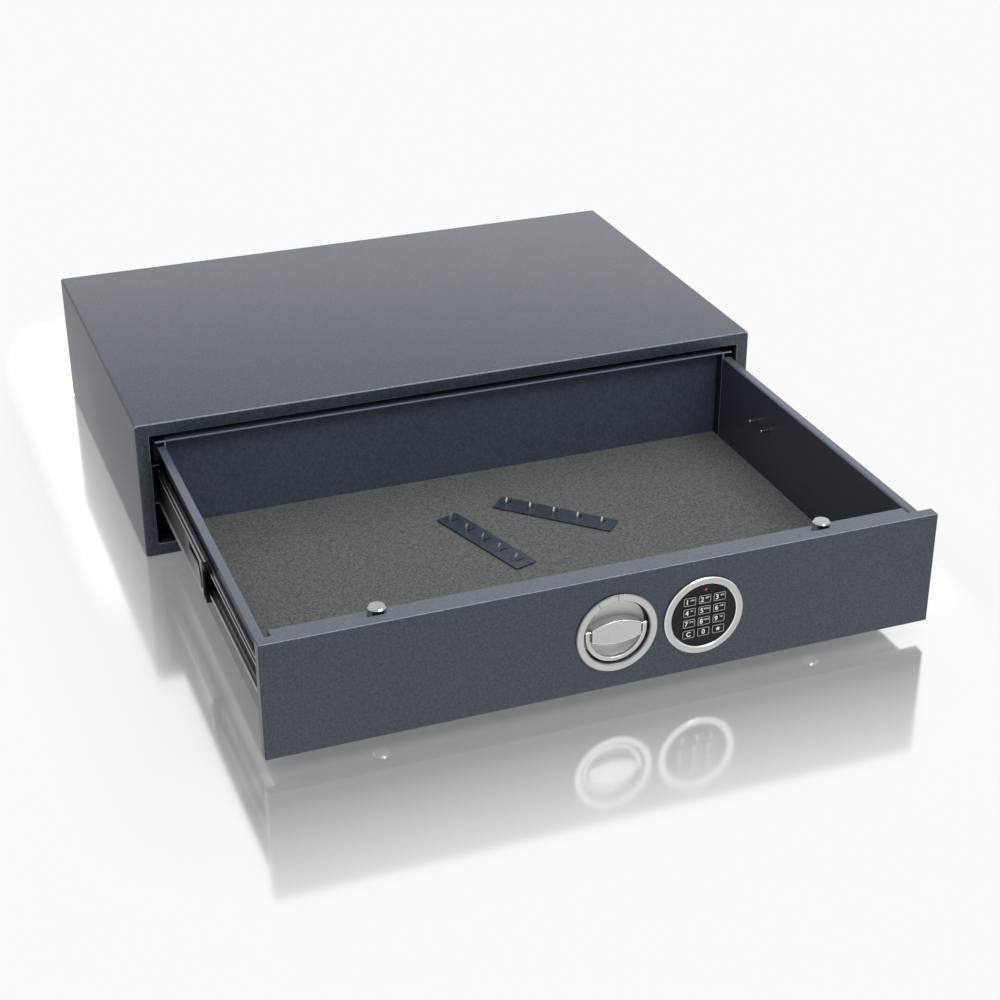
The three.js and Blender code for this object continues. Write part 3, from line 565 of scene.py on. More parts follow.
def bent(corners, radius, closed=False, steps=5):
    """A flat path with its corners turned into arcs, as far as its sides leave room."""
    path = []
    count = len(corners)
    for i, corner in enumerate(corners):
        here = Vector(corner)
        if not closed and i in (0, count - 1):
            path.append(here)
            continue
        back = Vector(corners[i - 1]) - here
        on = Vector(corners[(i + 1) % count]) - here
        half = back.angle(on) / 2
        reach = min(radius / math.tan(half), 0.48 * back.length, 0.48 * on.length)
        centre = here + (back.normalized() + on.normalized()).normalized() * (reach / math.cos(half))
        first = here + back.normalized() * reach - centre
        last = here + on.normalized() * reach - centre
        sweep = math.atan2(first.cross(last), first.dot(last))
        path += [centre + Matrix.Rotation(sweep * j / steps, 2) @ first for j in range(steps + 1)]
    return path


def shifted(outline, distance):
    """A closed outline drawn in by a distance."""
    points = [Vector(point) for point in outline]
    count = len(points)
    area = sum(a.x * b.y - b.x * a.y for a, b in zip(points, points[1:] + points[:1]))
    inner = []
    for i, here in enumerate(points):
        back = (here - points[i - 1]).normalized()
        on = (points[(i + 1) % count] - here).normalized()
        across = Vector((-on.y, on.x))
        inward = (Vector((-back.y, back.x)) + across).normalized()
        inner.append(here + inward * math.copysign(distance, area) / max(inward.dot(across), 0.5))
    return inner


def prism(outline, axis, start, end, soft_start=0, soft_end=0, steps=4):
    """An outline carried along an axis, the rim of each end rounded by its radius."""
    rings = []
    for place, soft, inward in ((start, soft_start, 1), (end, soft_end, -1)):
        turns = [math.radians(90 * i / steps) for i in range(steps + 1)] if soft else [0]
        rim = []
        for turn in turns:
            ring = shifted(outline, soft * (1 - math.sin(turn))) if soft else outline
            along = place + inward * soft * (1 - math.cos(turn))
            rim.append([point_on(axis, along, *point) for point in ring])
        rings += rim if inward == 1 else reversed(rim)
    return lofted("prism", rings, False)


def spun(profile, axis, first, second, count=96, closed=False):
    """A turned body: (radius, place along the axis) pairs, carried round the axis."""
    rings = []
    for radius, along in profile:
        turns = [2 * math.pi * i / count for i in range(count)]
        rings.append([
            point_on(axis, along, first + radius * math.cos(turn), second + radius * math.sin(turn))
            for turn in turns
        ])
    return lofted("spun", rings, closed)


def sheet_outline(path, thickness, steps=4):
    """The outline of a strip of sheet that follows a path; its long edges are rounded."""
    bulge = 0.3 * thickness
    points = list(path)
    points[0] = points[0] + (points[1] - points[0]).normalized() * bulge
    points[-1] = points[-1] + (points[-2] - points[-1]).normalized() * bulge
    near, far = [], []
    for i, point in enumerate(points):
        ways = [points[j + 1] - points[j] for j in (i - 1, i) if 0 <= j < len(points) - 1]
        along = sum((way.normalized() for way in ways), Vector((0, 0))).normalized()
        across = Vector((-along.y, along.x)) * thickness / 2
        near.append(point + across)
        far.append(point - across)
    caps = []
    for end, before, side in ((points[-1], points[-2], 1), (points[0], points[1], -1)):
        along = (end - before).normalized()
        across = Vector((-along.y, along.x)) * thickness / 2
        turns = [math.pi * i / steps for i in range(1, steps)]
        caps.append([end + across * math.cos(turn) + along * bulge * math.sin(turn) for turn in turns])
    return near + caps[0] + far[::-1] + caps[1]


panel_low, panel_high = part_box("front_panel")
panel_face, panel_rear, panel_half = panel_low.y, panel_high.y, panel_high.x
mid_height = (panel_low.z + panel_high.z) / 2
panel_skin, side_rim, top_rim = 4 * mm, 20.5 * mm, 8.5 * mm
panel_edge, panel_rear_edge = 1.2 * mm, 0.4 * mm
panel_corner, pocket_corner = 1.5 * mm, 3 * mm
bore_radius = 36.3 * mm
keypad_x = 87.5 * mm
bolt_x, bolt_y = 219.5 * mm, -626.3 * mm
bolt_hole, drill_past = 8.8 * mm, 20 * mm

outline = rounded_outline(panel_half, panel_low.z, panel_high.z, panel_corner)
plate = prism(outline, "y", panel_face, panel_rear, panel_edge, panel_rear_edge)
pocket_low, pocket_high = panel_low.z + top_rim, panel_high.z - top_rim
pocket = rounded_outline(panel_half - side_rim, pocket_low, pocket_high, pocket_corner)
cuts = [prism(pocket, "y", panel_face + panel_skin, panel_rear + panel_skin)]
for x in (0, keypad_x):
    ends = [(bore_radius, panel_face - panel_skin), (bore_radius, panel_rear)]
    cuts.append(spun(ends, "y", x, mid_height))
# The panel's upper rounded edges take the paler coat, a painted highlight, and its top face the lighter
# top coat, painted light.
plate = marked(evened(carved(plate, cuts)), 1, lambda face: edge_faces(face) and face.normal.z > 0.2)
marked(plate, 2, lambda face: face.normal.z > 0.97 and face.center.z > panel_high.z - 0.1 * mm)
fitted("front_panel_plate", plate, [slate_coat, highlight_coat, top_light_coat], "slate_coat", "front_panel")


def bolt_holes():
    """What the drill takes out of a sheet below or above each pair of bolts."""
    ends = [(bolt_hole, panel_low.z - drill_past), (bolt_hole, panel_high.z + drill_past)]
    return [spun(ends, "z", side * bolt_x, bolt_y) for _, side in both_sides]


tray_low, tray_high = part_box("drawer_tray")
tray_sheet, tray_bend, cut_corner = 1.5 * mm, 1.8 * mm, 0.2 * mm
wall_inside, wall_rear = 319 * mm, -221.5 * mm
slot_half_length, slot_half_width, slot_round = 10 * mm, 2.5 * mm, 2 * mm
slot_count, slot_reach = 5, 304 * mm
wall_middle = wall_inside + tray_sheet / 2
high = tray_high.z - tray_sheet / 2
low = tray_low.z + tray_sheet / 2
corners = [
    (-tray_high.x, high),
    (-wall_middle, high),
    (-wall_middle, low),
    (wall_middle, low),
    (wall_middle, high),
    (tray_high.x, high),
]
outline = sheet_outline(bent(corners, tray_bend), tray_sheet)
cuts = bolt_holes()
low, high = tray_low.z + tray_sheet, tray_high.z + tray_bend
behind = rounded_outline(tray_high.x + tray_bend, low, high, cut_corner, 1)
cuts.append(prism(behind, "y", wall_rear, tray_high.y + tray_bend))
for i in range(slot_count):
    x = (2 * i / (slot_count - 1) - 1) * slot_reach
    slot = [
        (x - slot_half_length, bolt_y - slot_half_width),
        (x + slot_half_length, bolt_y - slot_half_width),
        (x + slot_half_length, bolt_y + slot_half_width),
        (x - slot_half_length, bolt_y + slot_half_width),
    ]
    outline_cut = bent(slot, slot_round, closed=True)
    cuts.append(prism(outline_cut, "z", tray_low.z - tray_sheet, tray_low.z + 2 * tray_sheet))
tray = evened(carved(prism(outline, "y", tray_low.y, tray_high.y), cuts))
# The tray's flange tops take the lighter top coat: painted light.
marked(tray, 1, lambda face: face.normal.z > 0.3 and face.center.z > tray_high.z - tray_sheet)
fitted("drawer_tray_sheet", tray, [dark_coat, top_light_coat], "dark_coat", "drawer_tray")

pan_low, pan_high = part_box("lock_housing")
pan_sheet, pan_bend = 1.5 * mm, 1.8 * mm
hollow_corner, hollow_edge = 0.6 * mm, 0.4 * mm
outline = rounded_outline(pan_high.x, pan_low.z, pan_high.z, pan_bend)
pan = prism(outline, "y", pan_low.y, pan_high.y, 0, pan_bend)
low, high = pan_low.z + pan_sheet, pan_high.z - pan_sheet
hollow = rounded_outline(pan_high.x - pan_sheet, low, high, hollow_corner)
low, high = pan_low.y - pan_sheet, pan_high.y - pan_sheet
cuts = bolt_holes() + [prism(hollow, "y", low, high, 0, hollow_edge)]
pan = evened(carved(pan, cuts))
# The pan's top takes the lighter top coat: painted light.
marked(pan, 1, lambda face: face.normal.z > 0.3 and face.center.z > pan_high.z - pan_bend)
fitted("lock_housing_pan", pan, [dark_coat, top_light_coat], "dark_coat", "lock_housing")


# Slides
# Three channels a side, rolled from zinc-plated steel strip, with ball races pressed in their lips
# and two cages of steel balls between them; rivets hold the innermost one to the drawer.
# Below this height under the middle, the painted shade on the slides' webs fades out.
unshaded_below, unshaded_blur, unshaded_share = 9 * mm, 5 * mm, 0.85


def plated(name, colour, rough, streak, shade_span=None, edge=1.0):
    """Bright plated steel with fine lines along the way that it was rolled. Given a span, painted
    shade and dark reflection darken it over that stretch of the slide, but hardly on its lower part."""
    made = Finish(name, {"Metallic": 1.0, "Specular Tint": (edge, edge, edge, 1.0)})
    place = made.node("ShaderNodeMapping", {}, {"Vector": made.place(), "Scale": (1.0, 0.02, 1.0)})
    line = made.noise(0.35 * mm, 2, 0.6, place)
    cloud = made.noise(14 * mm, 3, 0.5)
    skin = made.blend(line * 0.5 + cloud * 0.5, paint(colour), paint(streak))
    # Painted shade and dark reflection: near black over a stretch along the slide, lifted below the
    # middle.
    if shade_span:
        _, along, up = made.split(made.place())
        shaded_stretch = ((along - shade_span[0]) / (shade_span[1] - shade_span[0])).held()
        unshaded = ((mid_height - unshaded_below - up) / unshaded_blur).held()
        skin = made.blend(shaded_stretch * (1 - unshaded_share * unshaded), skin, paint("131415"))
    made.feed("Base Color", skin)
    made.feed("Roughness", rough + 0.12 * line + 0.06 * cloud)
    made.feed("Normal", made.bump(line, 0.004 * mm))
    return made.owner


bright_zinc = plated("bright_zinc", "a2a4a8", 0.2, "7f8185")
plain_steel = plated("plain_steel", "a4a6a9", 0.3, "8c8e91")
# The stretches of the middle and drawer members' webs that get the painted shade and dark reflection.
middle_shade_span, inner_shade_span = (-418 * mm, -345 * mm), (-660 * mm, -600 * mm)
middle_zinc_shaded = plated("middle_zinc_shaded", "bcbec1", 0.24, "9c9ea1", middle_shade_span, 0.6)
inner_zinc_shaded = plated("inner_zinc_shaded", "bcbec1", 0.24, "9c9ea1", inner_shade_span, 0.6)


def row_tree():
    """Copies of a template in a straight row, each a step on from the last."""
    tree = bpy.data.node_groups.new("row", "GeometryNodeTree")
    kinds = {"Template": "Object", "Count": "Int", "Start": "Vector", "Step": "Vector"}
    kinds["Finish"] = "Material"
    for name, kind in kinds.items():
        tree.interface.new_socket(name=name, in_out="INPUT", socket_type=f"NodeSocket{kind}")
    tree.interface.new_socket(name="Geometry", in_out="OUTPUT", socket_type="NodeSocketGeometry")
    given = tree.nodes.new("NodeGroupInput").outputs
    line = tree.nodes.new("GeometryNodeMeshLine")
    template = tree.nodes.new("GeometryNodeObjectInfo")
    spread = tree.nodes.new("GeometryNodeInstanceOnPoints")
    real = tree.nodes.new("GeometryNodeRealizeInstances")
    finish = tree.nodes.new("GeometryNodeSetMaterial")
    out = tree.nodes.new("NodeGroupOutput")
    links = (
        (given["Count"], line.inputs["Count"]),
        (given["Start"], line.inputs["Start Location"]),
        (given["Step"], line.inputs["Offset"]),
        (given["Template"], template.inputs["Object"]),
        (line.outputs["Mesh"], spread.inputs["Points"]),
        (template.outputs["Geometry"], spread.inputs["Instance"]),
        (spread.outputs["Instances"], real.inputs["Geometry"]),
        (real.outputs["Geometry"], finish.inputs["Geometry"]),
        (given["Finish"], finish.inputs["Material"]),
        (finish.outputs["Geometry"], out.inputs["Geometry"]),
    )
    for source, target in links:
        tree.links.new(source, target)
    return tree


row = row_tree()


def joined(*parts):
    """One mesh of several; each is given with the number of its material."""
    whole = bmesh.new()
    for mesh, finish in parts:
        known = len(whole.faces)
        whole.from_mesh(mesh)
        whole.faces.ensure_lookup_table()
        for face in whole.faces[known:]:
            face.material_index += finish
    made = bpy.data.meshes.new("joined")
    whole.to_mesh(made)
    whole.free()
    return made


def in_row(template, count, start, step, finish):
    """A mesh of count copies of a template, made by the row tree."""
    model = bpy.data.objects.new("template", template)
    piece = bpy.data.objects.new("row", bpy.data.meshes.new("row"))
    for made in (model, piece):
        scene.collection.objects.link(made)
    modifier = piece.modifiers.new("row", "NODES")
    modifier.node_group = row
    values = {"Template": model, "Count": count, "Start": start, "Step": step, "Finish": finish}
    for item in row.interface.items_tree:
        if item.in_out == "INPUT":
            modifier[item.identifier] = values[item.name]
    mesh = settled(piece)
    bpy.data.objects.remove(model)
    return mesh


member_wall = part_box("drawer_member_right")[0].x
slide_sheet = 1.2 * mm
roll_radius, cage_bend = 0.9 * mm, 0.4 * mm
cut_rim = 0.12 * mm


def rolled(node, side, corners, sheet, steps=5):
    """A channel rolled to (distance from the drawer's wall, height), as long as its node."""
    low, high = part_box(node)
    path = bent(corners, roll_radius if sheet == slide_sheet else cage_bend, steps=steps)
    rings = []
    thin = sheet - 2 * cut_rim
    places = ((low.y, thin), (low.y + cut_rim, sheet), (high.y - cut_rim, sheet), (high.y, thin))
    for y, thickness in places:
        outline = sheet_outline(path, thickness)
        rings.append([(side * (member_wall + u), y, mid_height + v) for u, v in outline])
    return lofted(node, rings, False)


def mirrored_path(half):
    """A path from mid height up, with its mirror image before it."""
    return [(u, -v) for u, v in reversed(half)] + half


def channel_path(web, lip_end, height, race):
    """A channel from lip to lip. The race is the place, swell and width of its lips' groove."""
    inner = slide_sheet / 2
    toward = math.copysign(1, lip_end - web)
    level = height - inner
    place, swell, width = race
    return mirrored_path([
        (web + toward * inner, level),
        (place - toward * width, level),
        (place - toward * width / 2, level + swell),
        (place + toward * width / 2, level + swell),
        (place + toward * width, level),
        (lip_end, level),
    ])


cabinet_web, cabinet_lip_end, cabinet_half = 12.7 * mm, 4.5 * mm, 23 * mm
middle_web, middle_lip_end, middle_half = 10.4 * mm, 3.0 * mm, 19.2 * mm
drawer_lip_end, drawer_half = 5.8 * mm, 14.9 * mm
outer_race, inner_race = 7.7 * mm, 4.1 * mm
cabinet_race = (outer_race, 0.6 * mm, 2.0 * mm)
middle_race = (outer_race, -0.7 * mm, 1.5 * mm)
drawer_race = (inner_race, -0.5 * mm, 1.2 * mm)
cabinet_level = cabinet_half - cabinet_race[1]
cabinet_path = channel_path(cabinet_web, cabinet_lip_end, cabinet_level, cabinet_race)
middle_path = channel_path(middle_web, middle_lip_end, middle_half, middle_race)
drawer_path = channel_path(0, drawer_lip_end, drawer_half, drawer_race)
web_cut_back, web_cut_half, web_cut_round = 14 * mm, 21.3 * mm, 3 * mm
slot_front, slot_length, slot_low, slot_height = 11 * mm, 43 * mm, 7.5 * mm, 8 * mm
web_slot_round = 1.5 * mm
rivet_count, rivet_rise = 4, 7 * mm
rivet_proud, rivet_sunk, rivet_round = 0.9 * mm, 0.3 * mm, 0.7 * mm
hole_inset = 12 * mm
hole_radius = 2.5 * mm
rivet_radius = 2.2 * mm
cabinet_cut, middle_cut, drawer_cut = (11 * mm, 14 * mm), (8 * mm, 12 * mm), (-1 * mm, 3 * mm)


def cut_ends(side, reach):
    """Where a cut through a slide's web starts and ends, in x."""
    return sorted(side * (member_wall + distance) for distance in reach)


def faces_sideways(face):
    """Whether a face looks straight to one side, as the flat of a slide's web does."""
    return abs(face.normal.x) > 0.98


for side_name, side in both_sides:
    name = f"cabinet_member_{side_name}"
    low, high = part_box(name)
    corners = [
        (low.y - web_cut_back, mid_height - web_cut_half),
        (low.y + web_cut_back, mid_height - web_cut_half),
        (low.y + web_cut_back, mid_height + web_cut_half),
        (low.y - web_cut_back, mid_height + web_cut_half),
    ]
    outline = bent(corners, web_cut_round, closed=True)
    notch = prism(outline, "x", *cut_ends(side, cabinet_cut))
    channel = rolled(name, side, cabinet_path, slide_sheet)
    fitted(f"{name}_channel", evened(carved(channel, [notch])), plain_steel, "bright_zinc", name)

    name = f"middle_member_{side_name}"
    low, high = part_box(name)
    corners = [
        (low.y + slot_front, mid_height + slot_low),
        (low.y + slot_front + slot_length, mid_height + slot_low),
        (low.y + slot_front + slot_length, mid_height + slot_low + slot_height),
        (low.y + slot_front, mid_height + slot_low + slot_height),
    ]
    slot = prism(bent(corners, web_slot_round, closed=True), "x", *cut_ends(side, middle_cut))
    channel = carved(rolled(name, side, middle_path, slide_sheet), [slot])
    # The flat of the web takes the finish with painted shade along part of its length.
    channel = marked(evened(channel), 1, faces_sideways)
    fitted(f"{name}_channel", channel, [bright_zinc, middle_zinc_shaded], "bright_zinc", name)

    name = f"drawer_member_{side_name}"
    low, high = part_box(name)
    ends = [(hole_radius, x) for x in cut_ends(side, drawer_cut)]
    hole_places = (low.y + hole_inset, high.y - hole_inset)
    holes = [spun(ends, "x", y, mid_height, 40) for y in hole_places]
    channel = carved(rolled(name, side, drawer_path, slide_sheet), holes)
    # The flat of the web takes the finish with painted shade along part of its length.
    marked(channel, 1, faces_sideways)
    rivet_top = member_wall + slide_sheet + rivet_proud
    rivet_root = member_wall + slide_sheet - rivet_sunk
    dome = bent([(0, rivet_top), (rivet_radius, rivet_top), (rivet_radius, rivet_root)], rivet_round)
    dome.append(Vector((0, rivet_root)))
    rivet = smoothed(spun([(radius, side * along) for radius, along in dome], "x", 0, 0, 32))
    start = (0, low.y + hole_inset, mid_height + rivet_rise)
    step = (high.y - low.y - 2 * hole_inset) / (rivet_count - 1)
    rivets = in_row(rivet, rivet_count, start, (0, step, 0), bright_zinc)
    whole = joined((channel, 0), (rivets, 0))
    fitted(f"{name}_channel", evened(whole), [bright_zinc, inner_zinc_shaded], "bright_zinc", name)


def ball(radius):
    """A steel ball about the origin."""
    mesh = bmesh.new()
    bmesh.ops.create_uvsphere(mesh, u_segments=20, v_segments=12, radius=radius)
    made = bpy.data.meshes.new("ball")
    mesh.to_mesh(made)
    mesh.free()
    return made


cage_strip = 0.5 * mm
balls_in_row = 13
ball_margin = 8 * mm
cages = (
    ("outer", 11.2 * mm, 6.2 * mm, 20.75 * mm, outer_race, 20.15 * mm, 1.6 * mm),
    ("inner", 7.6 * mm, 2.7 * mm, 16.7 * mm, inner_race, 16.2 * mm, 1.7 * mm),
)
for ring_name, web, lip_end, height, race, ball_height, ball_radius in cages:
    for side_name, side in both_sides:
        name = f"ball_cage_{ring_name}_{side_name}"
        low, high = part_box(name)
        level = height - cage_strip / 2
        path = mirrored_path([(web - cage_strip / 2, level), (lip_end, level)])
        parts = [(rolled(name, side, path, cage_strip), 0)]
        step = (high.y - low.y - 2 * ball_margin) / (balls_in_row - 1)
        for row_side in (-1, 1):
            ball_z = mid_height + row_side * ball_height
            start = (side * (member_wall + race), low.y + ball_margin, ball_z)
            balls = in_row(ball(ball_radius), balls_in_row, start, (0, step, 0), bright_zinc)
            parts.append((balls, 1))
        finishes = [plain_steel, bright_zinc]
        fitted(f"{name}_strip", evened(joined(*parts)), finishes, "plain_steel", name)


# Key hook strips
# Two steel strips with five tongues each, punched out of the strip, bent up and coated; they lie
# loose on the felt, and hang on the wall's studs when the user wants them there.
strip_width, strip_length, strip_sheet = 26 * mm, 135 * mm, 1.5 * mm
strip_corner, strip_low_edge, strip_top_edge = 1.2 * mm, 0.15 * mm, 0.25 * mm
hook_pitch = 27.4 * mm
hook_count = 5
hook_half, hook_sheet = 1.0 * mm, 1.2 * mm
hook_bend, hook_edge, punched_corner = 1.5 * mm, 0.15 * mm, 0.5 * mm
hook_corners = [(-4.9 * mm, 0.3 * mm), (-4.9 * mm, 6.5 * mm), (-2.7 * mm, 10.5 * mm)]
punched_from, punched_to = -4.3 * mm, 6.7 * mm
# On the second strip only, the tongues' tips take a pale steel: a painted highlight, as both strips are
# alike.
tip_highlight_from = 6.2 * mm
tip_highlight_steel = plated("tip_highlight_steel", "d0d2d6", 0.34, "c0c2c6")


def hook_strip(highlighted_tips):
    """A strip about its own middle, with its tongues; the second finish is for tips with a painted
    highlight.
    """
    outline = rounded_outline(strip_width / 2, -strip_length / 2, strip_length / 2, strip_corner)
    plate = prism(outline, "z", 0, strip_sheet, strip_low_edge, strip_top_edge, 2)
    slots = []
    for i in range(hook_count):
        y = (i - (hook_count - 1) / 2) * hook_pitch
        slot = [
            (punched_from, y - hook_half),
            (punched_to, y - hook_half),
            (punched_to, y + hook_half),
            (punched_from, y + hook_half),
        ]
        outline_cut = bent(slot, punched_corner, closed=True)
        slots.append(prism(outline_cut, "z", -strip_sheet, 2 * strip_sheet))
    outline = sheet_outline(bent(hook_corners, hook_bend), hook_sheet)
    tongue = prism(outline, "y", -hook_half, hook_half, hook_edge, hook_edge, 2)
    start = (0, -(hook_count - 1) / 2 * hook_pitch, 0)
    tongues = in_row(tongue, hook_count, start, (0, hook_pitch, 0), dark_coat)
    # The flat strip takes the slate coat, lighter than the dark coat on its tongues though both are one
    # coated sheet: painted light on the strip.
    whole = evened(joined((carved(plate, slots), 2), (tongues, 0)))
    # Tips above the height take the pale steel: a painted highlight.
    return marked(whole, 1, lambda face: highlighted_tips and face.center.z > tip_highlight_from)


strip_places = ((1, -21.2 * mm, -364.5 * mm, 17.9), (2, 68.4 * mm, -335.9 * mm, 45.4))
for number, x, y, degrees in strip_places:
    name = f"key_hook_strip_{number}"
    mesh = hook_strip(number == 2)
    turn = Matrix.Rotation(math.radians(degrees), 4, "Z")
    mesh.transform(Matrix.Translation((x, y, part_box(name)[0].z)) @ turn)
    fitted(f"{name}_sheet", mesh, [dark_coat, tip_highlight_steel, slate_coat], "dark_coat", name)


# Battery box and the slides' end pieces
# Moulded in black plastic with a fine grain. Each end piece is pressed on the front of a middle
# member and has a lever strip, which is pushed to take the drawer off its slides.
def plastic(name, colour, worn, rough, grain, depth):
    """Moulded plastic, or a print on it, a little uneven in colour and gloss."""
    made = Finish(name, {"IOR": 1.46, "Specular IOR Level": 0.2})
    skin = made.noise(grain, 2, 0.5)
    cloud = made.noise(9 * mm, 2, 0.5)
    made.feed("Base Color", made.blend(skin * 0.6 + cloud * 0.4, paint(colour), paint(worn)))
    made.feed("Roughness", rough + 0.14 * skin)
    made.feed("Normal", made.bump(skin, depth))
    return made.owner


black_plastic = plastic("black_plastic", "151618", "1c1d1f", 0.34, 0.5 * mm, 0.01 * mm)
box_edge, end_piece_edge = 0.8 * mm, 0.5 * mm
box = softened("battery_box", box_edge, 3)
fitted("battery_box_moulding", box, black_plastic, "black_plastic", "battery_box")
lever_path = [(-405 * mm, 90 * mm), (-411 * mm, 87 * mm), (-415.5 * mm, 80 * mm), (-418 * mm, 66 * mm)]
lever_thickness, lever_bend, lever_edge = 2.2 * mm, 4 * mm, 0.2 * mm
lever_faces = (10.3 * mm, 11.2 * mm)
for side_name, side in both_sides:
    node = f"slide_bumper_{side_name}"
    outline = sheet_outline(bent(lever_path, lever_bend), lever_thickness)
    ends = sorted(side * (member_wall + face) for face in lever_faces)
    lever = prism(outline, "x", *ends, lever_edge, lever_edge, 2)
    mesh = joined((softened(node, end_piece_edge, 3), 0), (evened(lever), 0))
    fitted(f"{node}_moulding", mesh, black_plastic, "black_plastic", node)


# Felt liner
# A sheet of grey needle felt, 3 mm thick and cut with a knife to the size of the drawer's floor. It
# lies loose in the tray and isn't glued, so its top has soft waves.
felt = Finish("grey_felt", {"Roughness": 0.95, "Specular IOR Level": 0.15, "Sheen Weight": 0.25})
tuft = felt.noise(2.4 * mm, 3, 0.6)
fibre = felt.noise(0.6 * mm, 2, 0.7)
shades = [(0.37, paint("343434")), (0.63, paint("757575"))]
felt.feed("Base Color", felt.ramp(tuft * 0.6 + fibre * 0.4, shades))
felt.feed("Normal", felt.bump(tuft * 0.5 + fibre * 0.5, 0.5 * mm))
felt_low, felt_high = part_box("felt_liner")
felt_round, felt_fall, felt_sag, felt_wave = 0.5 * mm, 2 * mm, 0.25 * mm, 0.12 * mm
felt_columns, felt_rows = 96, 62


def felt_surface():
    """The sheet, closed, with soft waves in its top and its edges a little rounded."""
    mesh = bmesh.new()
    size = felt_high - felt_low
    grid = []
    for i in range(felt_columns + 1):
        column = []
        for j in range(felt_rows + 1):
            u, v = i / felt_columns, j / felt_rows
            rim = min(u * size.x, (1 - u) * size.x, v * size.y, (1 - v) * size.y)
            fall = felt_round * math.exp(-rim / felt_fall)
            wave = felt_wave * (math.sin(19 * u + 3 * v) + math.sin(13 * v + 5 * u))
            x, y = felt_low.x + u * size.x, felt_low.y + v * size.y
            column.append(mesh.verts.new((x, y, felt_high.z - felt_sag + wave - fall)))
        grid.append(column)
    for i in range(felt_columns):
        for j in range(felt_rows):
            mesh.faces.new((grid[i][j], grid[i + 1][j], grid[i + 1][j + 1], grid[i][j + 1]))
    rim_edges = [edge for edge in mesh.edges if edge.is_boundary]
    skirt = bmesh.ops.extrude_edge_only(mesh, edges=rim_edges)["geom"]
    low_verts = [item for item in skirt if isinstance(item, bmesh.types.BMVert)]
    for vert in low_verts:
        vert.co.z = felt_low.z
    low_edges = [edge for edge in mesh.edges if edge.is_boundary]
    bmesh.ops.contextual_create(mesh, geom=low_edges)
    bmesh.ops.recalc_face_normals(mesh, faces=mesh.faces)
    made = bpy.data.meshes.new("felt")
    mesh.to_mesh(made)
    mesh.free()
    return made


liner = fitted("felt_sheet", smoothed(felt_surface(), 50), felt.owner, "grey_felt", "felt_liner")


# Bolts, studs and the lock work
# Turned from round bar; the four bolts are chrome plated and polished, with a fork sawn in the
# tail and a pin through it. The studs are riveted in the tray's wall. The lock work is cut from
# steel plate, with brass for the bush, the pinion and the lock's own bolt.
def polished(name, colour, rough, marks):
    """Polished metal with faint smears and scratches."""
    made = Finish(name, {"Metallic": 1.0})
    smear = made.noise(7 * mm, 3, 0.6)
    scratch = made.noise(0.3 * mm, 3, 0.7)
    made.feed("Base Color", made.blend(smear, paint(colour), paint(marks)))
    made.feed("Roughness", rough + 0.06 * smear + 0.04 * scratch)
    made.feed("Normal", made.bump(scratch, 0.002 * mm))
    return made.owner


chrome = polished("chrome", "b4b5b7", 0.07, "a8aaac")
brass = polished("brass", "c9a560", 0.22, "a98745")
bolt_radius, bolt_chamfer = 8.5 * mm, 1.3 * mm
bolt_tail, bolt_tip = 13 * mm, 61.5 * mm
fork_half, fork_depth = 1.9 * mm, 35.5 * mm
pin_radius, pin_half, pin_height = 2.5 * mm, 7.2 * mm, 19.5 * mm
bolt_edge, pin_edge = 0.2 * mm, 0.3 * mm


def turned_bolt(x, y, up):
    """A bolt that points up or down, its heights taken from mid height."""
    corners = [
        (0, bolt_tail),
        (bolt_radius, bolt_tail),
        (bolt_radius, bolt_tip - bolt_chamfer),
        (bolt_radius - bolt_chamfer, bolt_tip),
        (0, bolt_tip),
    ]
    profile = bent(corners, bolt_edge, steps=3)
    shaft = spun([(radius, mid_height + up * height) for radius, height in profile], "z", x, y, 96)
    low, high = sorted((mid_height, mid_height + up * fork_depth))
    left, right = x - 2 * bolt_radius, x + 2 * bolt_radius
    outline = [(left, low), (right, low), (right, high), (left, high)]
    fork = prism(outline, "y", y - fork_half, y + fork_half)
    left, right = x - pin_half, x + pin_half
    pin_corners = [(0, left), (pin_radius, left), (pin_radius, right), (0, right)]
    pin = spun(bent(pin_corners, pin_edge, steps=3), "x", y, mid_height + up * pin_height, 40)
    return joined((carved(shaft, [fork]), 0), (pin, 0))


for row_name, up in (("upper", 1), ("lower", -1)):
    for side_name, side in both_sides:
        name = f"{row_name}_bolt_{side_name}"
        mesh = turned_bolt(side * bolt_x, bolt_y, up)
        fitted(f"{name}_bar", evened(mesh), chrome, "chrome", name)

stud_radius, stud_dome = 2 * mm, 1.1 * mm
for number in (1, 2):
    name = f"wall_stud_{number}"
    low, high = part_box(name)
    corners = [(0, high.x), (stud_radius, high.x), (stud_radius, low.x), (0, low.x)]
    y, z = (low.y + high.y) / 2, (low.z + high.z) / 2
    body = spun(bent(corners, stud_dome, steps=6), "x", y, z, 48)
    fitted(f"{name}_pin", evened(body), chrome, "plain_steel", name)
steel_edge, brass_edge = 0.2 * mm, 0.15 * mm
for node in ("bolt_guide_left", "bolt_guide_right", "locking_bar", "lock_case", "spindle"):
    mesh = softened(node, steel_edge, 1, holed=True)
    fitted(f"{node}_part", mesh, plain_steel, "plain_steel", node)
for node in ("spindle_bush", "pinion", "lock_bolt"):
    mesh = softened(node, brass_edge, 1, holed=True)
    fitted(f"{node}_part", mesh, brass, "brass", node)


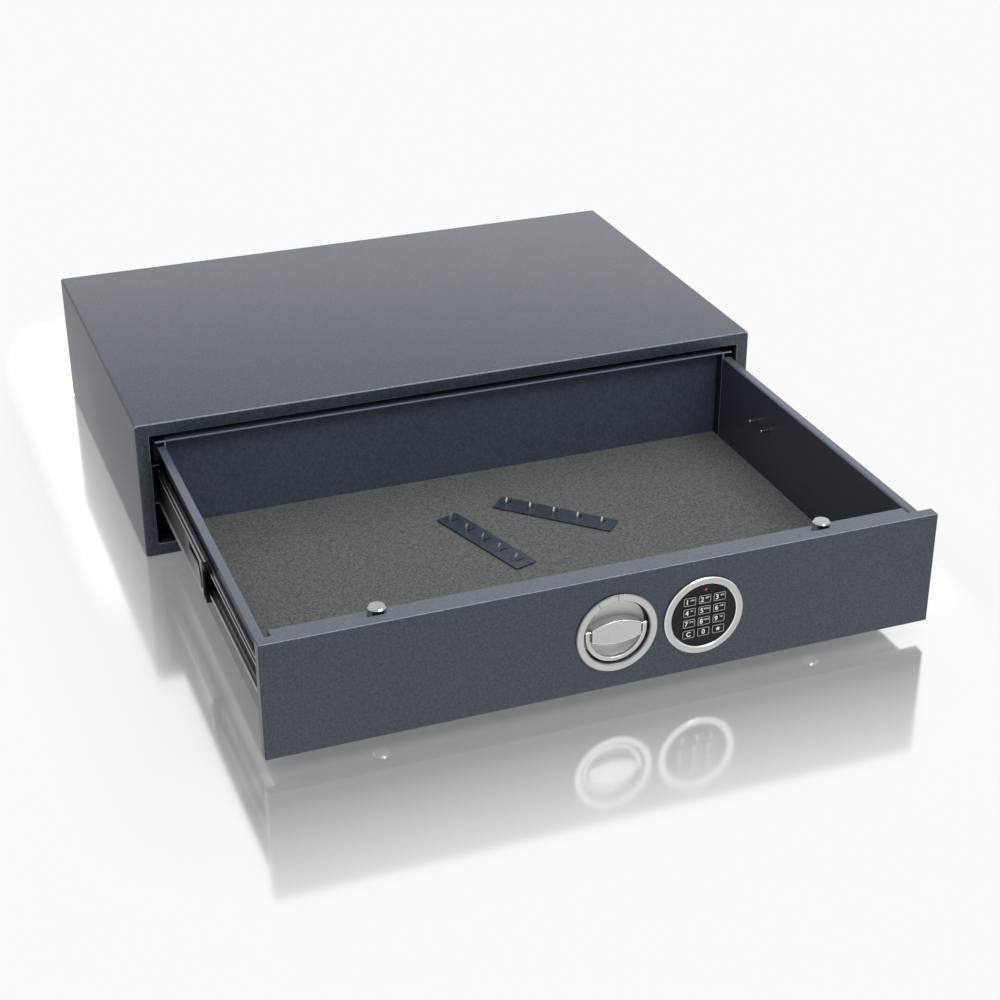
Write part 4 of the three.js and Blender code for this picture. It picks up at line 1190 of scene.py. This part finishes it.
# Handle
# A ring and a dish turned from zinc castings, with a cast grip bridge across the dish and a bail
# that folds down on two pins. They have a satin nickel finish with a painted highlight along the
# edges, the dish's nickel is painted lighter, and the keypad's ring is the same casting.
def satin(name, colour, shade, rough, metal=1.0):
    """A blasted finish, nickel where it is all metal, and nearer to a paint where it is not."""
    made = Finish(name, {"Metallic": metal})
    grit = made.noise(0.25 * mm, 2, 0.6)
    cloud = made.noise(11 * mm, 2, 0.5)
    made.feed("Base Color", made.blend(grit * 0.4 + cloud * 0.6, paint(colour), paint(shade)))
    made.feed("Roughness", rough + 0.1 * grit)
    made.feed("Normal", made.bump(grit, 0.01 * mm))
    return made.owner


satin_nickel = satin("satin_nickel", "cdcdcc", "b7b7b6", 0.3)
ring_radius, ring_inner, ring_proud, ring_bevel = 40.2 * mm, 32.9 * mm, 2.5 * mm, 0.9 * mm
sleeve_radius, sleeve_rear = 36.0 * mm, 13 * mm
foot_gap, foot_depth, ring_edge = 0.8 * mm, 1.3 * mm, 0.15 * mm


def turned_ring(x):
    """The ring round the handle or the keypad: flat, chamfered, on a foot that stands back."""
    corners = [
        (ring_inner, sleeve_rear),
        (ring_inner, -ring_proud + ring_bevel),
        (ring_inner + ring_bevel, -ring_proud),
        (ring_radius - ring_bevel, -ring_proud),
        (ring_radius, -ring_proud + ring_bevel),
        (ring_radius, -foot_gap),
        (ring_radius - foot_depth, -foot_gap),
        (ring_radius - foot_depth, 0),
        (sleeve_radius, 0),
        (sleeve_radius, sleeve_rear),
    ]
    profile = bent(corners, ring_edge, closed=True, steps=3)
    points = [(radius, panel_face + depth) for radius, depth in profile]
    return spun(points, "y", x, mid_height, 160, closed=True)


mark_half, mark_depth, mark_edge, mark_room = 0.45 * mm, 0.5 * mm, 0.7 * mm, 0.1 * mm
mark_turns = (0, 30)
marks = []
for turn in mark_turns:
    across = Vector((math.cos(math.radians(turn)), math.sin(math.radians(turn))))
    out = Vector((-across.y, across.x))
    outline = []
    for reach, width in ((1, -1), (1, 1), (0, 1), (0, -1)):
        radius = ring_radius - mark_edge if reach else ring_inner + mark_edge
        spot = out * radius + across * mark_half * width
        outline.append((spot.x, mid_height + spot.y))
    marks.append(prism(outline, "y", panel_face - 2 * ring_proud, panel_face - ring_proud + mark_depth))
# A bright polished copy of the nickel, put on rounded edges as a painted highlight.
nickel_edge_highlight = polished("nickel_edge_highlight", "f0f0ef", 0.14, "e4e4e3")
mark_paint = plastic("mark_paint", "9a9a99", "8c8c8b", 0.5, 0.2 * mm, 0.003 * mm)
nickels = [satin_nickel, nickel_edge_highlight, mark_paint]


def nickel_highlight_faces(face):
    """The rounded edges, which get a painted highlight."""
    return edge_faces(face, 0.3, 0.95)


def in_mark(face):
    """Whether a face of the ring is in one of its marks, below the ring's own face."""
    out = math.hypot(face.center.x, face.center.z - mid_height)
    below = face.center.y - panel_face + ring_proud
    inside = ring_inner + mark_edge / 2 < out < ring_radius - mark_edge / 2
    return inside and mark_room < below < mark_depth + mark_room


ring_piece = marked(marked(evened(carved(turned_ring(0), marks)), 1, nickel_highlight_faces), 2, in_mark)
fitted("knob_ring_turned", ring_piece, nickels, "satin_nickel", "knob_ring")
ring_piece = marked(evened(turned_ring(keypad_x)), 1, nickel_highlight_faces)
fitted("keypad_ring_turned", ring_piece, nickels, "satin_nickel", "keypad_ring")

dish_outer, dish_inner, dish_flat, shaded_gap_from = 32.6 * mm, 31.4 * mm, 15 * mm, 31 * mm
dish_rim, dish_floor, dish_rear, dish_slope = 2.6 * mm, 13 * mm, 19.8 * mm, 6.5 * mm
dish_eye, dish_edge = 0.5 * mm, 0.5 * mm
slope_steps = 24
dish_profile = [(dish_eye, dish_floor)]
for i in range(slope_steps + 1):
    turn = math.pi / 2 * i / slope_steps
    reach = dish_flat + (dish_inner - dish_flat) * math.sin(turn)
    dish_profile.append((reach, dish_floor - dish_slope * (1 - math.cos(turn))))
wall_corners = [
    dish_profile[-1],
    (dish_inner, dish_rim),
    (dish_outer, dish_rim),
    (dish_outer, dish_rear),
    (dish_eye, dish_rear),
]
dish_profile += bent(wall_corners, dish_edge)[1:]
dish = spun([(radius, panel_face + depth) for radius, depth in dish_profile], "y", 0, mid_height, 128)
# A near-white, almost non-metal copy of the satin nickel for the dish: painted light, so its hollow reads
# as lit.
dish_lit_satin = satin("dish_lit_satin", "f2f2f1", "eaeae9", 0.5, 0.1)


def in_shaded_gap(face):
    """Whether a face of the dish is in the gap by the ring, which is black as painted shade."""
    return math.hypot(face.center.x, face.center.z - mid_height) > shaded_gap_from


# The dish's rim and the walls next to it, by the ring, are black plastic: painted shade of the gap.
dish = marked(evened(dish), 1, in_shaded_gap)
fitted("knob_dish_turned", dish, [dish_lit_satin, black_plastic], "satin_nickel", "knob_dish")

grip_half, grip_end, grip_top, grip_bottom = 24.3 * mm, 6.7 * mm, 12.6 * mm, 11.2 * mm
grip_face, grip_depth = -1.5 * mm, 9.5 * mm
grip_round, grip_rear_edge = 0.8 * mm, 0.4 * mm
stem_half, stem_height, stem_corner, stem_sunk = 12 * mm, 4.5 * mm, 1.5 * mm, 0.2 * mm
pivot_depth, pivot_height = 2 * mm, 3.2 * mm
pin_hole, pin_hole_depth = 1.5 * mm, 3.5 * mm
curve_steps = 28


def arched(rise, direction):
    """One long side of the grip, bowed from end to end."""
    points = []
    for i in range(curve_steps + 1):
        share = i / curve_steps * 2 - 1
        height = grip_end + (rise - grip_end) * (1 - share * share)
        points.append((-direction * share * grip_half, mid_height + direction * height))
    return points


grip_outline = arched(grip_top, 1) + arched(grip_bottom, -1)
grip_front = panel_face + grip_face
grip_rear = grip_front + grip_depth
grip = prism(grip_outline, "y", grip_front, grip_rear, grip_round, grip_rear_edge, 5)
low, high = mid_height - stem_height, mid_height + stem_height
stem_outline = rounded_outline(stem_half, low, high, stem_corner)
stem = prism(stem_outline, "y", grip_front + grip_depth / 2, panel_face + dish_floor + stem_sunk)
pivot = (panel_face + pivot_depth, mid_height + pivot_height)
pin_holes = []
for _, side in both_sides:
    ends = [(pin_hole, side * (grip_half - pin_hole_depth)), (pin_hole, side * dish_outer)]
    pin_holes.append(spun(ends, "x", *pivot, 32))
grip = joined((carved(grip, pin_holes), 0), (stem, 0))
fitted("grip_bridge_cast", marked(evened(grip), 1, nickel_highlight_faces), nickels, "satin_nickel", "grip_bridge")

bail_inner, bail_outer, bail_depth = 26.3 * mm, 30.6 * mm, 4.2 * mm
bail_round, knuckle_round = 0.9 * mm, 0.7 * mm
bail_pin, bail_pin_from = 1.2 * mm, 21.1 * mm
bail_middle = (bail_inner + bail_outer) / 2
bail_half = (bail_outer - bail_inner) / 2
bail_steps = 64
section = rounded_outline(bail_half, -bail_depth / 2, bail_depth / 2, bail_round, 4)
rings = []
for i in range(-1, bail_steps + 2):
    turn = math.pi * min(max(i / bail_steps, 0), 1)
    drop = 0 if i in (-1, bail_steps + 1) else pivot_height
    rings.append([
        (
            (bail_middle + outward) * math.cos(turn),
            panel_face + pivot_depth + depth,
            mid_height + pivot_height - drop - (bail_middle + outward) * math.sin(turn),
        )
        for outward, depth in section
    ])
bail = lofted("bail", rings, False)
knuckles = []
for _, side in both_sides:
    radius = bail_depth / 2
    corners = [(0, bail_inner), (radius, bail_inner), (radius, bail_outer), (0, bail_outer)]
    profile = [(reach, side * along) for reach, along in bent(corners, knuckle_round, steps=4)]
    knuckles.append(spun(profile, "x", *pivot, 48))
    ends = [(bail_pin, side * bail_pin_from), (bail_pin, side * bail_middle)]
    knuckles.append(spun(ends, "x", *pivot, 32))
bail = marked(evened(carved(bail, knuckles, "UNION"), 40), 1, nickel_highlight_faces)
fitted("bail_cast", bail, nickels, "satin_nickel", "bail_handle")


# Keypad
# A round black plastic moulding, clipped in the panel's bore, with a pocket for each of its twelve
# keys. Their characters and outlines are printed in grey and white, and a red lamp shows above them.
pad_face, pad_rear, pad_edge, pocket_floor = -1.0 * mm, 20.2 * mm, 0.5 * mm, 2.5 * mm
key_width, key_height, key_round, key_edge = 13.2 * mm, 9.6 * mm, 1.8 * mm, 0.35 * mm
key_pitch = (15.2 * mm, 11.6 * mm)
key_face, key_back, key_room = -1.8 * mm, 1.2 * mm, 0.3 * mm
cut_ahead = 3 * mm
print_thick, line_from, line_to = 0.03 * mm, 0.45 * mm, 1.15 * mm
digit_height, digit_left = 5.2 * mm, 2.6 * mm
letters_height, letters_right, letters_up = 1.7 * mm, 2.5 * mm, 1.3 * mm
star_radius, star_waist, star_points = 2.7 * mm, 0.42, 5
lamp_spot, lamp_radius, lamp_room = (1 * mm, 27 * mm), 1.4 * mm, 0.3 * mm
lamp_face, lamp_back, lamp_round, lamp_pocket = -1.3 * mm, 1.5 * mm, 0.8 * mm, 1.8 * mm
legends = ["1 ABC", "2 DEF", "3 GHI", "4 JKL", "5 MNO", "6 PQR", "7 STU", "8 VWX", "9 YZ"]
legends += ["C", "0", "star"]
labels = ["1", "2", "3", "4", "5", "6", "7", "8", "9", "c", "0", "star"]
key_plastic = plastic("key_plastic", "0f1012", "161719", 0.42, 0.35 * mm, 0.006 * mm)
key_print = plastic("key_print", "a0a2a5", "94969a", 0.45, 0.2 * mm, 0.003 * mm)
digit_print = plastic("digit_print", "f2f2f2", "e6e6e6", 0.45, 0.2 * mm, 0.003 * mm)


def key_outline(x, z, room):
    """A key's rounded rectangle, larger all round by the room."""
    half, high = key_width / 2 + room, key_height / 2 + room
    return [(x + u, z + v) for u, v in rounded_outline(half, -high, high, key_round + room, 8)]


def printed(text, height, x, z, face):
    """Flat letters of a height, their middle at a spot, printed on a face that looks forward."""
    curve = bpy.data.curves.new("print", "FONT")
    curve.body = text
    curve.offset = 0.02
    curve.extrude = 0.5
    curve.resolution_u = 3
    piece = bpy.data.objects.new("print", curve)
    scene.collection.objects.link(piece)
    mesh = settled(piece)
    lows = [min(vert.co[i] for vert in mesh.vertices) for i in range(3)]
    highs = [max(vert.co[i] for vert in mesh.vertices) for i in range(3)]
    size = height / (highs[1] - lows[1])
    for vert in mesh.vertices:
        u = (vert.co.x - (lows[0] + highs[0]) / 2) * size
        v = (vert.co.y - (lows[1] + highs[1]) / 2) * size
        vert.co = (x + u, face - vert.co.z * 2 * print_thick, z + v)
    return mesh


def star(x, z, face):
    """A star printed on a key."""
    points = []
    for i in range(2 * star_points):
        reach = star_radius if i % 2 == 0 else star_waist * star_radius
        turn = math.pi / 2 + math.pi * i / star_points
        points.append((x + reach * math.cos(turn), z + reach * math.sin(turn)))
    return prism(points, "y", face - print_thick, face + print_thick)


pockets = []
spots = []
for i in range(len(labels)):
    x = keypad_x + (i % 3 - 1) * key_pitch[0]
    z = mid_height + (1.5 - i // 3) * key_pitch[1]
    spots.append((x, z))
    outline = key_outline(x, z, key_room)
    pockets.append(prism(outline, "y", panel_face - cut_ahead, panel_face + pocket_floor))
lamp_x, lamp_z = keypad_x + lamp_spot[0], mid_height + lamp_spot[1]
hole_ends = (panel_face - cut_ahead, panel_face + lamp_pocket)
lamp_hole = [(lamp_radius + lamp_room, along) for along in hole_ends]
pockets.append(spun(lamp_hole, "y", lamp_x, lamp_z, 40))
pad_corners = [(0, pad_face), (dish_outer, pad_face), (dish_outer, pad_rear), (0, pad_rear)]
pad_profile = bent(pad_corners, pad_edge)
pad = spun([(radius, panel_face + depth) for radius, depth in pad_profile], "y", keypad_x, mid_height, 128)
fitted("keypad_body_moulding", evened(carved(pad, pockets)), black_plastic, "black_plastic", "keypad_body")

for (x, z), legend, label in zip(spots, legends, labels):
    face = panel_face + key_face
    cap = prism(key_outline(x, z, 0), "y", face, panel_face + key_back, key_edge, 0, 3)
    rings = []
    for inset, rise in ((line_from, -1), (line_from, 1), (line_to, 1), (line_to, -1)):
        along = face - rise * print_thick
        rings.append([(u, along, v) for u, v in key_outline(x, z, -inset)])
    parts = [(cap, 0), (lofted("outline", rings, True), 1)]
    if label == "star":
        parts.append((star(x, z, face), 2))
    elif " " in legend:
        digit, letters = legend.split(" ")
        parts.append((printed(digit, digit_height, x - digit_left, z, face), 2))
        spot = (x + letters_right, z + letters_up)
        parts.append((printed(letters, letters_height, *spot, face), 2))
    else:
        parts.append((printed(legend, digit_height, x, z, face), 2))
    mesh = evened(joined(*parts))
    fitted(f"key_{label}_cap", mesh, [key_plastic, key_print, digit_print], "key_plastic", f"key_{label}")

lamp_values = {"Base Color": paint("a83a40"), "Roughness": 0.15}
lamp_values |= {"Emission Color": paint("ff2020"), "Emission Strength": 0.08}
lamp_red = Finish("red_lamp", lamp_values)
lens_corners = [(0, lamp_face), (lamp_radius, lamp_face), (lamp_radius, lamp_back), (0, lamp_back)]
lens_profile = bent(lens_corners, lamp_round)
lens_body = spun([(radius, panel_face + depth) for radius, depth in lens_profile], "y", lamp_x, lamp_z, 48)
fitted("lamp", evened(lens_body), lamp_red.owner, "red_lamp", "status_led")


# Leads
# Two thin cables in black rubber sleeves: one runs from the keypad to the lock case, and the other
# from the battery box to the keypad. They lie inside the panel.
lead_rubber = plastic("lead_rubber", "18181a", "222224", 0.45, 0.4 * mm, 0.01 * mm)
lead_edge = 0.05 * mm
for node in ("keypad_lead", "battery_lead"):
    sleeve = smoothed(softened(node, lead_edge, 1), 60)
    fitted(f"{node}_sleeve", sleeve, lead_rubber, "lead_rubber", node)

# Bring the scene up to date at the end
bpy.context.view_layer.update()
